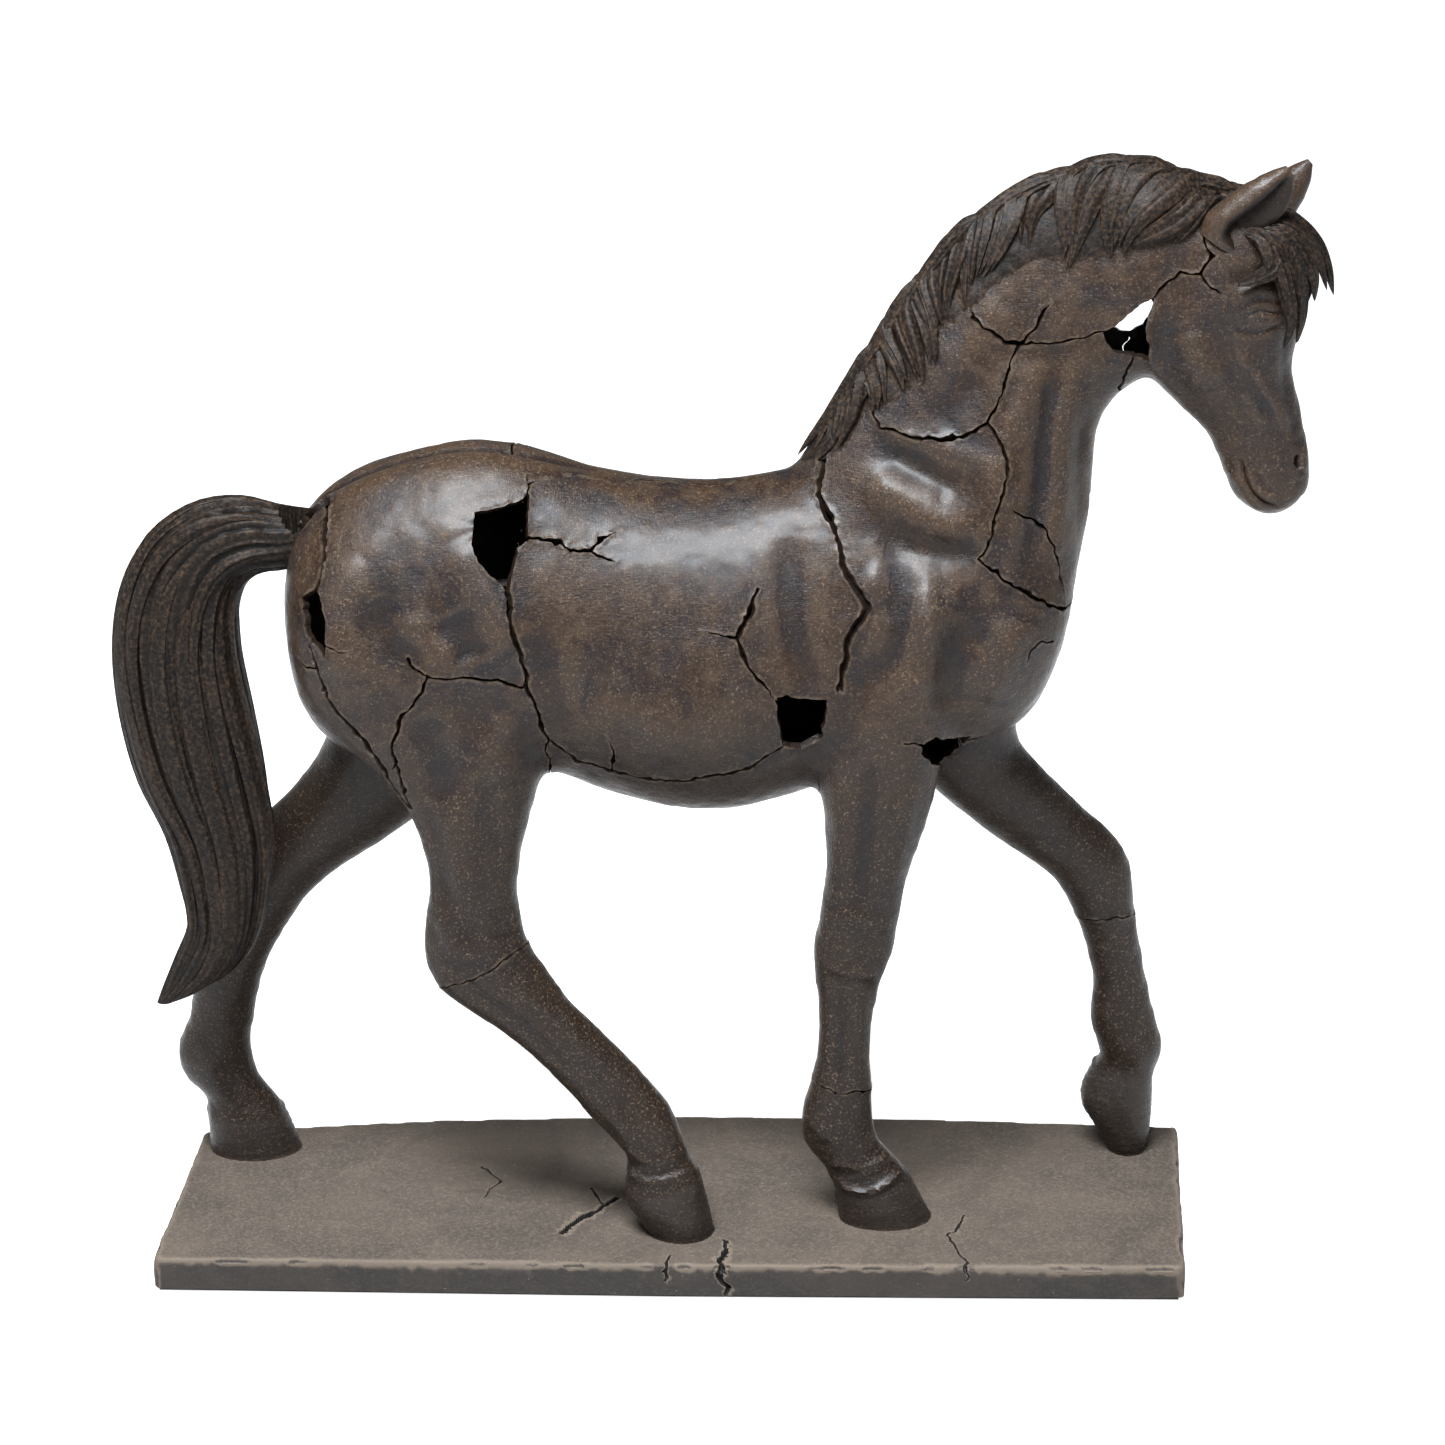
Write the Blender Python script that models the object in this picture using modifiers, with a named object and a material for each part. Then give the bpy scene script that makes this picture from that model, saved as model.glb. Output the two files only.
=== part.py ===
"""Cracked bronze horse statue walking on a rectangular plinth.

Frame: metres, +Z up, origin at the centre of the plinth's underside, the horse faces +X.
The horse is a hollow cast shell broken along its cracks into plates, carried by an armature
of bent steel rods that is bolted through the plinth.
Lengths below are in millimetres and become metres when a mesh is made.
"""

import math

import bmesh
import bpy
import numpy as np
from mathutils import Matrix, Vector

MM = 0.001

# Driving dimensions, in millimetres
MID_Y = 6.0  # the horse's midplane stands this far behind the plinth's centre line
WALL = 4.0  # thickness of the cast shell
CRACK = 0.5  # width of the gap between two plates
SEAT = 0.35  # gap between pieces that touch
FELT_THICK = 1.2
PLINTH_TOP = 14.5
ROD_RADIUS = 2.0
CHANNEL_RADIUS = 2.5
ROD_BEND = 3.0  # a rod turns straight down this far above the plinth
PLINTH_EDGE = 1.2  # width of the plinth's rounded edges
REACH = 100.0  # distance that passes both flanks of the horse
BEYOND = 5.0  # how far a cutting tool passes the face it cuts through
WELD = 0.01  # points nearer than this become one

# Mesh detail
ROD_ROUNDNESS = 2
ROUND_SIDES = 12
NUT_SIDES = 6
HAIR_SIDES = 12
BLEND_ROUNDS = 4

# Ribs are (front or top x, z, back or bottom x, z, centre y, half width)
TORSO = [
    (-142, 263, -141, 240, 6, 15),
    (-139, 279, -137, 220, 6, 27),
    (-131, 292, -130, 207, 6, 36),
    (-116, 303, -119, 198, 6, 42),
    (-95, 311, -97, 192, 6, 45),
    (-72, 315.5, -74, 192, 6, 45),
    (-50, 312.5, -50, 193, 6, 43.5),
    (-25, 306, -25, 184, 6, 45),
    (0, 302.5, 0, 177.5, 6, 46.5),
    (22, 302, 24, 176.5, 6, 46),
    (44, 306, 48, 183, 6, 43.5),
    (64, 309, 68, 190, 6, 41),
    (86, 309, 92, 196, 6, 39.5),
    (108, 306, 112, 202, 6, 38),
    (127, 302, 128, 209, 6, 34),
    (140, 295, 137, 219, 6, 28),
    (149, 286, 143, 233, 6, 20),
    (152, 278, 147, 247, 6, 10),
]
NECK = [
    (34, 290, 112, 222, 6, 38),
    (42, 303, 132, 240, 6, 36),
    (50, 314, 147, 262, 6, 32),
    (60, 326, 154, 285, 6, 27.5),
    (71, 343, 155, 306, 6, 23.5),
    (84, 364, 157, 325, 6, 20.5),
    (99, 386, 163.5, 337, 6, 18),
    (118, 404, 172.5, 343, 6, 16.5),
    (143, 416, 184, 350, 6, 15.5),
    (168, 420, 194, 365, 6, 14.5),
    (188, 414, 204, 384, 6, 12),
]
HEAD = [
    (206, 411, 192, 408, 6, 8),
    (217, 403, 181, 396, 6, 15.5),
    (225, 390, 173, 380, 6, 18.5),
    (228, 374, 170, 363, 6, 20),
    (227, 359, 173, 346, 6, 18.5),
    (226, 346, 185, 334, 6, 15.5),
    (229, 334, 194, 325, 6, 12.8),
    (232, 322, 200, 314, 6, 11.3),
    (234, 311, 204, 304, 6, 11.2),
    (234, 302, 208, 297, 6, 10.6),
    (230, 296, 214, 293, 6, 8),
    (226, 293, 219, 291, 6, 4),
]
HIND_RIGHT = [
    (-40, 250, -134, 256, -12, 25),
    (-42, 222, -131, 222, -14, 24.5),
    (-45, 201, -115, 204, -17, 21.5),
    (-49, 186, -100, 189, -20, 18.5),
    (-53, 170, -92, 172, -23, 15.5),
    (-55, 155, -89, 155, -25, 13),
    (-54, 141, -91, 140, -26, 11.5),
    (-51, 130, -92, 127, -27, 11),
    (-43, 118, -86, 113, -27.5, 10.6),
    (-33.5, 104.5, -60, 94, -28, 9.6),
    (-20.5, 90.5, -42, 76.5, -28.5, 9),
    (-8, 77.5, -31, 62.5, -29, 9),
    (0, 68, -22, 53, -29.5, 9.8),
    (4, 59, -16, 47, -30, 9.4),
    (7, 49, -16, 39, -30.5, 9),
    (11, 39, -18, 31, -31, 10.5),
]
HOOF_HIND_RIGHT = [
    (12, 41, -18, 32, -31, 11),
    (14, 32, -15, 24, -31, 12),
    (17, 18, -7, 13, -31, 12.5),
    (18, 10, -4, 4, -31, 12.5),
]
HIND_LEFT = [
    (-48, 248, -132, 258, 25, 25),
    (-56, 214, -133, 232, 27, 24),
    (-76, 182, -128, 208, 30, 20.5),
    (-96, 161, -134, 187, 32, 17),
    (-112, 148, -145, 171, 33, 14),
    (-128, 137, -158, 158, 34, 12.2),
    (-141, 125, -172, 142, 34.5, 11.5),
    (-150, 112, -185, 125, 35, 11),
    (-156, 101, -186, 104, 35, 10.6),
    (-161, 88, -187, 88, 35, 9.6),
    (-165, 70, -191, 70, 35.5, 9.2),
    (-166, 58, -196, 56, 36, 10.2),
    (-164, 47, -193, 45, 36, 9.6),
    (-158, 38, -185, 37, 36, 9.4),
    (-154, 30, -185, 29, 36, 11),
]
HOOF_HIND_LEFT = [
    (-155, 34, -186, 32, 36, 11.5),
    (-151, 25, -185, 23, 36, 12.5),
    (-147, 12, -184, 10, 36, 13.5),
    (-145, 6, -184, 4, 36, 13.5),
]
FORE_RIGHT = [
    (114, 268, 56, 262, -14, 23),
    (109, 234, 56, 232, -17, 21),
    (102, 208, 56.5, 208, -19.5, 17.5),
    (99, 188, 57, 188, -20.5, 14.8),
    (94, 170, 58, 170, -21, 12.8),
    (89, 154, 58, 154, -21, 11.4),
    (87, 140, 56, 140, -20.5, 11),
    (85, 127, 54, 127, -20, 10.6),
    (80, 112, 55, 112, -19.5, 9),
    (77, 92, 56, 92, -19, 8.5),
    (77, 74, 54, 74, -18.5, 9),
    (78, 58, 50, 58, -18, 10.2),
    (80, 47, 51, 46, -18, 9.6),
    (87, 39, 57, 38, -18, 9.6),
    (93, 31, 62, 30, -18, 11.5),
]
HOOF_FORE_RIGHT = [
    (92, 34, 61, 32, -18, 12),
    (96, 25, 63, 24, -18, 13),
    (102, 12, 65, 11, -18, 14),
    (104, 6, 66, 5, -18, 14),
]
FORE_LEFT = [
    (136, 246, 72, 236, 24, 22),
    (133, 218, 82, 203, 27, 19),
    (132, 195, 96, 177, 30, 15.5),
    (142, 180, 112, 161, 32, 13.5),
    (156, 165, 129, 147, 35, 12),
    (171, 150, 145, 135, 37, 11.4),
    (178, 136, 152, 124, 38, 11),
    (180, 118, 157, 114, 38.5, 10),
    (183, 102, 161, 101, 39, 8.8),
    (186, 86, 164, 86, 39.5, 8.5),
    (190, 71, 163, 73, 40, 9),
    (193, 58, 167, 60, 41, 10),
    (190, 48, 169, 52, 42, 9.4),
]
HOOF_FORE_LEFT = [
    (190, 51, 168, 54, 42, 9.5),
    (190, 44, 163, 47, 42, 11),
    (190, 34, 160, 36, 42, 11.8),
    (189, 22, 168, 22, 42, 11),
    (187, 10, 175, 10, 42, 9),
]
TAIL = [
    (-132, 292, -132, 268, 6, 11),
    (-143, 293, -142, 267, 6, 12.5),
    (-158, 295.5, -152, 266, 6, 14),
    (-175, 292, -159, 261, 6, 15),
    (-191, 280, -162, 252, 6, 16),
    (-201, 260, -162, 243, 6, 17),
    (-205, 237, -161, 231, 6, 17),
    (-204, 211, -157, 209, 6, 17),
    (-199, 185, -153, 185, 6, 16),
    (-190, 162, -151, 162, 6, 15),
    (-186, 140, -153, 142, 6, 14),
    (-185, 124, -158, 121, 6, 12),
    (-190, 111, -167, 106, 6, 9),
    (-195, 99, -181, 96, 6, 6),
    (-198, 91, -192, 91, 6, 2.5),
]


# Cracks and fragment outlines are (x, z) points, read from the horse's right side
WITHERS_CRACK = [(60, 345), (57, 316), (55, 303), (60, 293), (65, 280), (73, 267), (66, 255), (63, 236)]
LEFT_WITHERS_CRACK = [
    (60, 345), (66, 318), (60, 300), (70, 280), (66, 262), (70, 245), (64, 228), (56, 216),
]
BELLY_CRACK = [(-44, 215), (-32, 206), (-10, 200), (9, 200), (31, 206), (43, 215)]
FLANK_CRACK = [(-57, 273), (-55, 261), (-51, 246), (-50, 237)]
LEFT_FLANK_CRACK = [(-50, 345), (-60, 300), (-54, 280), (-58, 262), (-50, 245)]
GROIN_CRACK = [(-50, 237), (-46, 226), (-44, 215)]
FLANK_EDGE = [(-44, 215), (-43, 186), (-30, 180), (-30, 150)]
THIGH_CRACK = [
    (-50, 237), (-60, 240), (-74, 241), (-87, 242), (-89, 235), (-97, 224), (-100, 212),
    (-97, 199), (-95, 187),
]
LEFT_THIGH_CRACK = [
    (-50, 245), (-64, 238), (-80, 243), (-98, 228), (-112, 216), (-128, 213), (-165, 205),
]
BUTTOCK_CRACK = [(-95, 187), (-100, 194), (-107, 209), (-118, 223), (-124, 234), (-126, 242)]
HOCK_CRACK = [(-40, 137), (-60, 129), (-77, 119), (-100, 108)]
FETLOCK_CRACK = [(100, 68), (76, 69.5), (63, 71), (40, 75)]
KNEE_CRACK = [(200, 116), (171, 119), (158, 117), (140, 117)]
NECK_BASE_CRACK = [(60, 345), (72, 336), (77, 328), (91, 325), (106, 327), (115, 331)]
THROAT_CRACK = [(115, 331), (118, 336), (122, 347), (125, 358), (127, 360)]
CHEST_CRACK = [(115, 331), (120, 326), (123, 315), (120, 305), (118, 292), (113, 283)]
BREAST_CRACK = [(113, 283), (116, 281), (126, 274), (137, 265), (144, 261), (172, 258)]
CREST_BREAK = [(104, 430), (108, 391), (109, 369)]
COLLAR_CRACK = [(109, 369), (121, 361), (127, 360)]
COLLAR_FRONT_CRACK = [(127, 360), (137, 360), (148, 362), (156, 364)]
POLL_CRACK = [
    (172, 375), (178, 381), (183, 385), (190, 385), (194, 392), (191, 399), (193, 408),
    (196, 430),
]
JAW_CRACK = [(168, 354), (166, 350), (163, 341), (172, 330)]

# Each fragment: its outline and the sides of the midplane that it covers
FRAGMENTS = {
    "barrel_right": (
        [(-50, 345)]
        + WITHERS_CRACK
        + [(40, 236), (42, 226)]
        + BELLY_CRACK[::-1]
        + GROIN_CRACK[1::-1]
        + FLANK_CRACK[-2::-1]
        + [(-54, 287), (-50, 291), (-50, 305)],
        "right",
    ),
    "barrel_left": (
        LEFT_WITHERS_CRACK + BELLY_CRACK[::-1] + [(-50, 228)] + LEFT_FLANK_CRACK[::-1],
        "left",
    ),
    "belly": (BELLY_CRACK + [(49, 213), (56, 216), (56, 150)] + FLANK_EDGE[:0:-1], "both"),
    "rump_right": (
        [(-125, 345), (-50, 345), (-50, 305), (-56, 302), (-70, 300), (-68, 287), (-61, 277)]
        + FLANK_CRACK
        + THIGH_CRACK[1:]
        + BUTTOCK_CRACK[1:]
        + [(-123, 248), (-123, 261), (-126, 272), (-124, 281), (-125, 300)],
        "right",
    ),
    "buttock_right": (
        [
            (-165, 345), (-125, 345), (-125, 300), (-124, 281), (-126, 272), (-132, 267),
            (-132, 258), (-129, 250),
        ]
        + BUTTOCK_CRACK[::-1]
        + [(-105, 175), (-165, 175)],
        "right",
    ),
    "rump_left": ([(-165, 345)] + LEFT_FLANK_CRACK + LEFT_THIGH_CRACK[1:], "left"),
    "thigh_right": (
        GROIN_CRACK + FLANK_EDGE[1:] + HOCK_CRACK + [(-120, 150), (-105, 175)] + THIGH_CRACK[:0:-1],
        "right",
    ),
    "hind_leg_left": (
        LEFT_THIGH_CRACK[::-1]
        + [(-50, 228)]
        + FLANK_EDGE
        + [(-60, 100), (-130, PLINTH_TOP), (-215, PLINTH_TOP), (-215, 205)],
        "left",
    ),
    "hind_leg_right_lower": (
        HOCK_CRACK[::-1] + [(30, 100), (30, PLINTH_TOP), (-40, PLINTH_TOP), (-100, 80)],
        "right",
    ),
    "shoulder_right": (
        NECK_BASE_CRACK
        + CHEST_CRACK[1:]
        + BREAST_CRACK[1:]
        + [(172, 190), (112, 170)]
        + FETLOCK_CRACK
        + [(40, 150), (56, 150), (56, 216), (60, 233)]
        + WITHERS_CRACK[:0:-1],
        "right",
    ),
    "shoulder_left": (
        NECK_BASE_CRACK
        + CHEST_CRACK[1:]
        + BREAST_CRACK[1:]
        + [(200, 200)]
        + KNEE_CRACK
        + [(56, 150)]
        + LEFT_WITHERS_CRACK[:0:-1],
        "left",
    ),
    "fore_leg_right_lower": (
        FETLOCK_CRACK[::-1] + [(120, 60), (120, PLINTH_TOP), (40, PLINTH_TOP)],
        "right",
    ),
    "fore_leg_left_lower": (
        KNEE_CRACK[::-1] + [(215, 116), (215, PLINTH_TOP), (140, PLINTH_TOP)],
        "left",
    ),
    "neck_middle": (
        NECK_BASE_CRACK + THROAT_CRACK[1:] + COLLAR_CRACK[-2::-1] + CREST_BREAK[-2::-1] + [(40, 430)],
        "both",
    ),
    "neck_throat": (
        THROAT_CRACK
        + COLLAR_FRONT_CRACK[1:]
        + [(159, 359)]
        + JAW_CRACK
        + [(172, 258)]
        + BREAST_CRACK[-2::-1]
        + CHEST_CRACK[-2:0:-1],
        "both",
    ),
    "neck_upper": (
        CREST_BREAK + COLLAR_CRACK[1:] + COLLAR_FRONT_CRACK[1:] + [(159, 368), (168, 373)] + POLL_CRACK,
        "both",
    ),
    "head": (
        POLL_CRACK[::-1] + [(174, 352)] + JAW_CRACK + [(172, 275), (245, 275), (245, 430)],
        "both",
    ),
}

# Pieces outside the shell
EAR_RIGHT = [
    (197, 398, 210, 391, -5, 6),
    (200, 407, 213, 401, -7, 6.5),
    (206, 415, 219, 408, -8, 5.5),
    (212, 420, 220, 414, -8.5, 3.6),
    (216.5, 423, 218.5, 421, -8.5, 1.2),
]
EAR_LEFT = [
    (209, 398, 222, 391, 17, 6),
    (212, 407, 225, 399, 19, 6.5),
    (218, 414, 229, 406, 20, 5.5),
    (225, 418, 231, 412, 20.5, 3.4),
    (229.5, 420, 231.5, 418, 20.5, 1.2),
]
FORELOCK = [
    (196, 423, 198, 407, 6, 9),
    (213, 419, 207, 403, 7, 12),
    (227, 407, 216, 396, 8, 13),
    (236, 392, 224, 385, 9, 11),
    (239, 379, 229, 376, 10, 6.5),
    (238, 370, 235, 369, 10, 2),
]
MANE_LIFT = 6.5
MANE_SPAN = (MID_Y - 24, MID_Y + 15)
MANES = {
    "mane_lower": [(30, 302), (52, 312), (64, 318), (73, 334), (86, 338), (60, 380), (30, 380)],
    "mane_middle": [(86, 338), (92, 350), (97, 366), (106, 366), (96, 430), (40, 430), (60, 380)],
    "mane_upper": [
        (106, 366), (115, 378), (131, 389), (154, 389), (172, 400), (190, 407), (194, 440),
        (96, 440), (96, 430),
    ],
}

# Armature and base
LEGS = {
    "hind_right": (HIND_RIGHT, HOOF_HIND_RIGHT),
    "hind_left": (HIND_LEFT, HOOF_HIND_LEFT),
    "fore_right": (FORE_RIGHT, HOOF_FORE_RIGHT),
    "fore_left": (FORE_LEFT, HOOF_FORE_LEFT),
}
SPINE = [
    (-112, MID_Y, 258),
    (-60, MID_Y, 262),
    (0, MID_Y, 262),
    (60, MID_Y, 262),
    (96, MID_Y, 280),
    (118, MID_Y, 318),
    (137, MID_Y, 358),
    (166, MID_Y, 385),
    (200, MID_Y, 386),
]
SPINE_END = (204, MID_Y, 386)
ROD_END = FELT_THICK + 0.7
NUT_RADIUS = 4.3
NUT_THICK = 3.2
WASHER_RADIUS = 5.2
WASHER_THICK = 1.0
PLINTH_WALL = 5.5
FELT_SETBACK = 2.0
PLINTH_OUTLINE = [
    (-194.5, -58.5), (0, -60.5), (195, -59.5), (202, 61), (110, 66), (0, 67.5), (-95, 62),
    (-189, 50),
]
HOLES = [
    ("armpit", [(94, 214), (108, 209), (115, 197), (106, 186), (93, 182), (91, 192)], -100, -3),
    ("tail_root", [(-144, 300), (-124, 300), (-127, 288), (-140, 285)], 0, 9),
]

# Skins: the size of the remeshing grid and the share of triangles that is kept
SKIN_VOXEL = 3.0
SKIN_SHARE = 0.048
CORE_VOXEL = 4.0
CORE_SHARE = 0.05
MANE_SHARE = 0.12

COLOURS = {
    "bronze": ((0.085, 0.072, 0.062), 0.45, 0.7),
    "plinth": ((0.13, 0.115, 0.1), 0.7, 0.4),
    "steel": ((0.45, 0.45, 0.46), 0.35, 1.0),
    "felt": ((0.03, 0.03, 0.03), 0.95, 0.0),
}


def spline(rows, steps):
    """Rows of numbers joined by a Catmull-Rom spline, with this many points from one row to the next."""
    rows = np.array(rows, float)
    ends = np.vstack([2 * rows[0] - rows[1], rows, 2 * rows[-1] - rows[-2]])
    found = []
    for i in range(1, len(rows)):
        before, start, end, after = ends[i - 1 : i + 3]
        for t in np.arange(steps) / steps:
            found.append(
                0.5
                * (
                    2 * start
                    + (end - before) * t
                    + (2 * before - 5 * start + 4 * end - after) * t**2
                    + (3 * start - before - 3 * end + after) * t**3
                )
            )
    return np.array(found + [rows[-1]])


def add_mesh(name, points, faces):
    """An object made from points in millimetres, with its faces pointing outwards."""
    mesh = bpy.data.meshes.new(name)
    mesh.from_pydata([Vector(p) * MM for p in points], [], faces)
    shaped = bmesh.new()
    shaped.from_mesh(mesh)
    bmesh.ops.recalc_face_normals(shaped, faces=shaped.faces)
    shaped.to_mesh(mesh)
    shaped.free()
    return add_object(name, mesh)


def loft(name, ribs, sides=20, steps=3, egg=0.0):
    """A closed form through ribs. egg above 0 moves its widest place towards the front or top."""
    points = []
    faces = []
    rings = spline(ribs, steps)
    angles = 2 * math.pi * np.arange(sides) / sides
    for front_x, front_z, back_x, back_z, y, half_width in rings:
        middle = np.array([(front_x + back_x) / 2, y, (front_z + back_z) / 2])
        reach = np.array([(front_x - back_x) / 2, 0, (front_z - back_z) / 2])
        for angle in angles:
            along = math.cos(angle)
            across = half_width * math.sin(angle) * (1 + egg * along)
            points.append(middle + reach * along + np.array([0, across, 0]))
    for ring in range(len(rings) - 1):
        low = ring * sides
        high = low + sides
        for side in range(sides):
            after = (side + 1) % sides
            faces.append((low + side, low + after, high + after, high + side))
    faces.append(tuple(range(sides)))
    faces.append(tuple(range((len(rings) - 1) * sides, len(rings) * sides)))
    return add_mesh(name, points, faces)


def fuse(name, pieces, voxel, share, swell=0.0):
    """One closed skin round several lofts, with blended joints, kept to a share of its triangles."""
    merged = bmesh.new()
    for piece in pieces:
        merged.from_mesh(piece.data)
        bpy.data.objects.remove(piece)
    mesh = bpy.data.meshes.new(name)
    merged.to_mesh(mesh)
    merged.free()
    skin = add_object(name, mesh)
    remesh = skin.modifiers.new("skin", "REMESH")
    remesh.mode = "VOXEL"
    remesh.voxel_size = voxel * MM
    blend = skin.modifiers.new("blend", "SMOOTH")
    blend.iterations = BLEND_ROUNDS
    if swell:
        grow = skin.modifiers.new("swell", "DISPLACE")
        grow.strength = swell * MM
        grow.mid_level = 0.0
    thin = skin.modifiers.new("thin", "DECIMATE")
    thin.ratio = share
    return bake(skin)


def bake(piece):
    """The piece with its modifiers made permanent."""
    graph = bpy.context.evaluated_depsgraph_get()
    mesh = bpy.data.meshes.new_from_object(piece.evaluated_get(graph))
    piece.modifiers.clear()
    piece.data = mesh
    return piece


def boolean(piece, other, operation):
    """The piece cut by, joined with or kept within another."""
    step = piece.modifiers.new(operation.lower(), "BOOLEAN")
    step.operation = operation
    step.object = other
    return bake(piece)


def duplicate(piece, name):
    copy = piece.copy()
    copy.data = piece.data.copy()
    copy.name = name
    bpy.context.scene.collection.objects.link(copy)
    return copy


def inset_outline(outline, gap):
    """The (x, z) outline moved inwards by gap."""
    points = np.array(outline, float)
    forward = np.roll(points, -1, axis=0) - points
    forward /= np.linalg.norm(forward, axis=1)[:, None]
    after = np.roll(points, -1, axis=0)
    area = np.sum(points[:, 0] * after[:, 1] - after[:, 0] * points[:, 1])
    inward = np.sign(area) * np.stack([-forward[:, 1], forward[:, 0]], axis=1)
    before = np.roll(inward, 1, axis=0)
    spread = 1 + np.sum(inward * before, axis=1)
    return points + gap * (inward + before) / np.maximum(spread, 0.3)[:, None]


def curve_to_mesh(name, curve):
    """The mesh of a curve, with its caps welded on."""
    guide = bpy.data.objects.new(name, curve)
    bpy.context.scene.collection.objects.link(guide)
    graph = bpy.context.evaluated_depsgraph_get()
    mesh = bpy.data.meshes.new_from_object(guide.evaluated_get(graph))
    bpy.data.objects.remove(guide)
    welded = bmesh.new()
    welded.from_mesh(mesh)
    bmesh.ops.remove_doubles(welded, verts=welded.verts, dist=WELD * MM)
    bmesh.ops.recalc_face_normals(welded, faces=welded.faces)
    welded.to_mesh(mesh)
    welded.free()
    return mesh


def add_object(name, mesh):
    made = bpy.data.objects.new(name, mesh)
    bpy.context.scene.collection.objects.link(made)
    return made


def extrude(name, outline, thickness):
    """A flat outline given this thickness, half of it to each side of the outline's own plane."""
    curve = bpy.data.curves.new(name, "CURVE")
    curve.dimensions = "2D"
    curve.fill_mode = "BOTH"
    curve.extrude = thickness / 2 * MM
    line = curve.splines.new("POLY")
    line.points.add(len(outline) - 1)
    for point, (across, up) in zip(line.points, outline):
        point.co = (across * MM, up * MM, 0, 1)
    line.use_cyclic_u = True
    return curve_to_mesh(name, curve)


def prism(name, outline, low_y, high_y, gap=0.0):
    """An (x, z) outline, moved inwards by gap and extruded from low_y to high_y."""
    mesh = extrude(name, inset_outline(outline, gap), high_y - low_y)
    mesh.transform(Matrix.Rotation(math.pi / 2, 4, "X"))
    mesh.transform(Matrix.Translation((0, (low_y + high_y) / 2 * MM, 0)))
    return add_object(name, mesh)


def slab(name, outline, low_z, high_z):
    """An (x, y) outline extruded upwards from low_z to high_z."""
    mesh = extrude(name, outline, high_z - low_z)
    mesh.transform(Matrix.Translation((0, 0, (low_z + high_z) / 2 * MM)))
    return add_object(name, mesh)


def tube(name, route, radius):
    """A round rod along route, as a mesh."""
    curve = bpy.data.curves.new(name, "CURVE")
    curve.dimensions = "3D"
    curve.bevel_depth = radius * MM
    curve.bevel_resolution = ROD_ROUNDNESS
    curve.use_fill_caps = True
    line = curve.splines.new("POLY")
    line.points.add(len(route) - 1)
    for point, place in zip(line.points, route):
        point.co = (*[value * MM for value in place], 1)
    return add_object(name, curve_to_mesh(name, curve))


def grown(piece, amount):
    """A copy of the piece that is larger all round, for cutting its neighbours clear of it."""
    copy = duplicate(piece, piece.name + "_clearance")
    grow = copy.modifiers.new("grow", "DISPLACE")
    grow.strength = amount * MM
    grow.mid_level = 0.0
    return bake(copy)


def remove(*pieces):
    for piece in pieces:
        bpy.data.objects.remove(piece)


def cylinder(name, x, y, low_z, high_z, radius, sides):
    mesh = bpy.data.meshes.new(name)
    shaped = bmesh.new()
    bmesh.ops.create_cone(
        shaped,
        cap_ends=True,
        segments=sides,
        radius1=radius * MM,
        radius2=radius * MM,
        depth=(high_z - low_z) * MM,
    )
    bmesh.ops.translate(shaped, verts=shaped.verts, vec=Vector((x, y, (low_z + high_z) / 2)) * MM)
    shaped.to_mesh(mesh)
    shaped.free()
    return add_object(name, mesh)


def leg_route(name):
    """The middle line of a leg, from its top in the trunk to the plinth's underside."""
    leg, hoof = LEGS[name]
    middle = [((a + c) / 2, y, (b + d) / 2) for a, b, c, d, y, _ in leg + hoof]
    inside = middle[: len(leg) + 1]
    foot = middle[-1]
    side = math.copysign(2 * ROD_RADIUS + SEAT, middle[0][1] - MID_Y)
    top = (middle[0][0], MID_Y + side, spine_height(middle[0][0]))
    return [top] + inside + [(foot[0], foot[1], PLINTH_TOP + ROD_BEND), (foot[0], foot[1], ROD_END)]


def spine_height(x):
    """Height of the armature's spine at x, along its stretch in the trunk."""
    xs, _, zs = zip(*SPINE)
    return float(np.interp(x, xs, zs))


def make_skins():
    """The horse's outer skin, and the hollow inside its trunk and neck."""
    trunk = [loft("torso", TORSO, egg=-0.12), loft("neck", NECK, egg=-0.25)]
    inner = [duplicate(piece, "core") for piece in trunk]
    outer = [duplicate(piece, "crest") for piece in trunk]
    core = fuse("hollow", inner, CORE_VOXEL, CORE_SHARE, -WALL)
    mane = fuse("mane_skin", outer, CORE_VOXEL, MANE_SHARE, MANE_LIFT)
    limbs = [loft("head", HEAD, egg=0.1)]
    for name, (leg, hoof) in LEGS.items():
        limbs.append(loft(name, leg))
        limbs.append(loft(name + "_hoof", hoof))
    skin = fuse("skin", trunk + limbs, SKIN_VOXEL, SKIN_SHARE)
    return skin, core, mane


def make_armature():
    """Steel rods: one along the spine and one down each leg, each with its nut and washer."""
    rods = [tube("spine_rod", SPINE, ROD_RADIUS)]
    for name in LEGS:
        rods.append(tube(name + "_rod", leg_route(name), ROD_RADIUS))
    return rods


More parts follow.
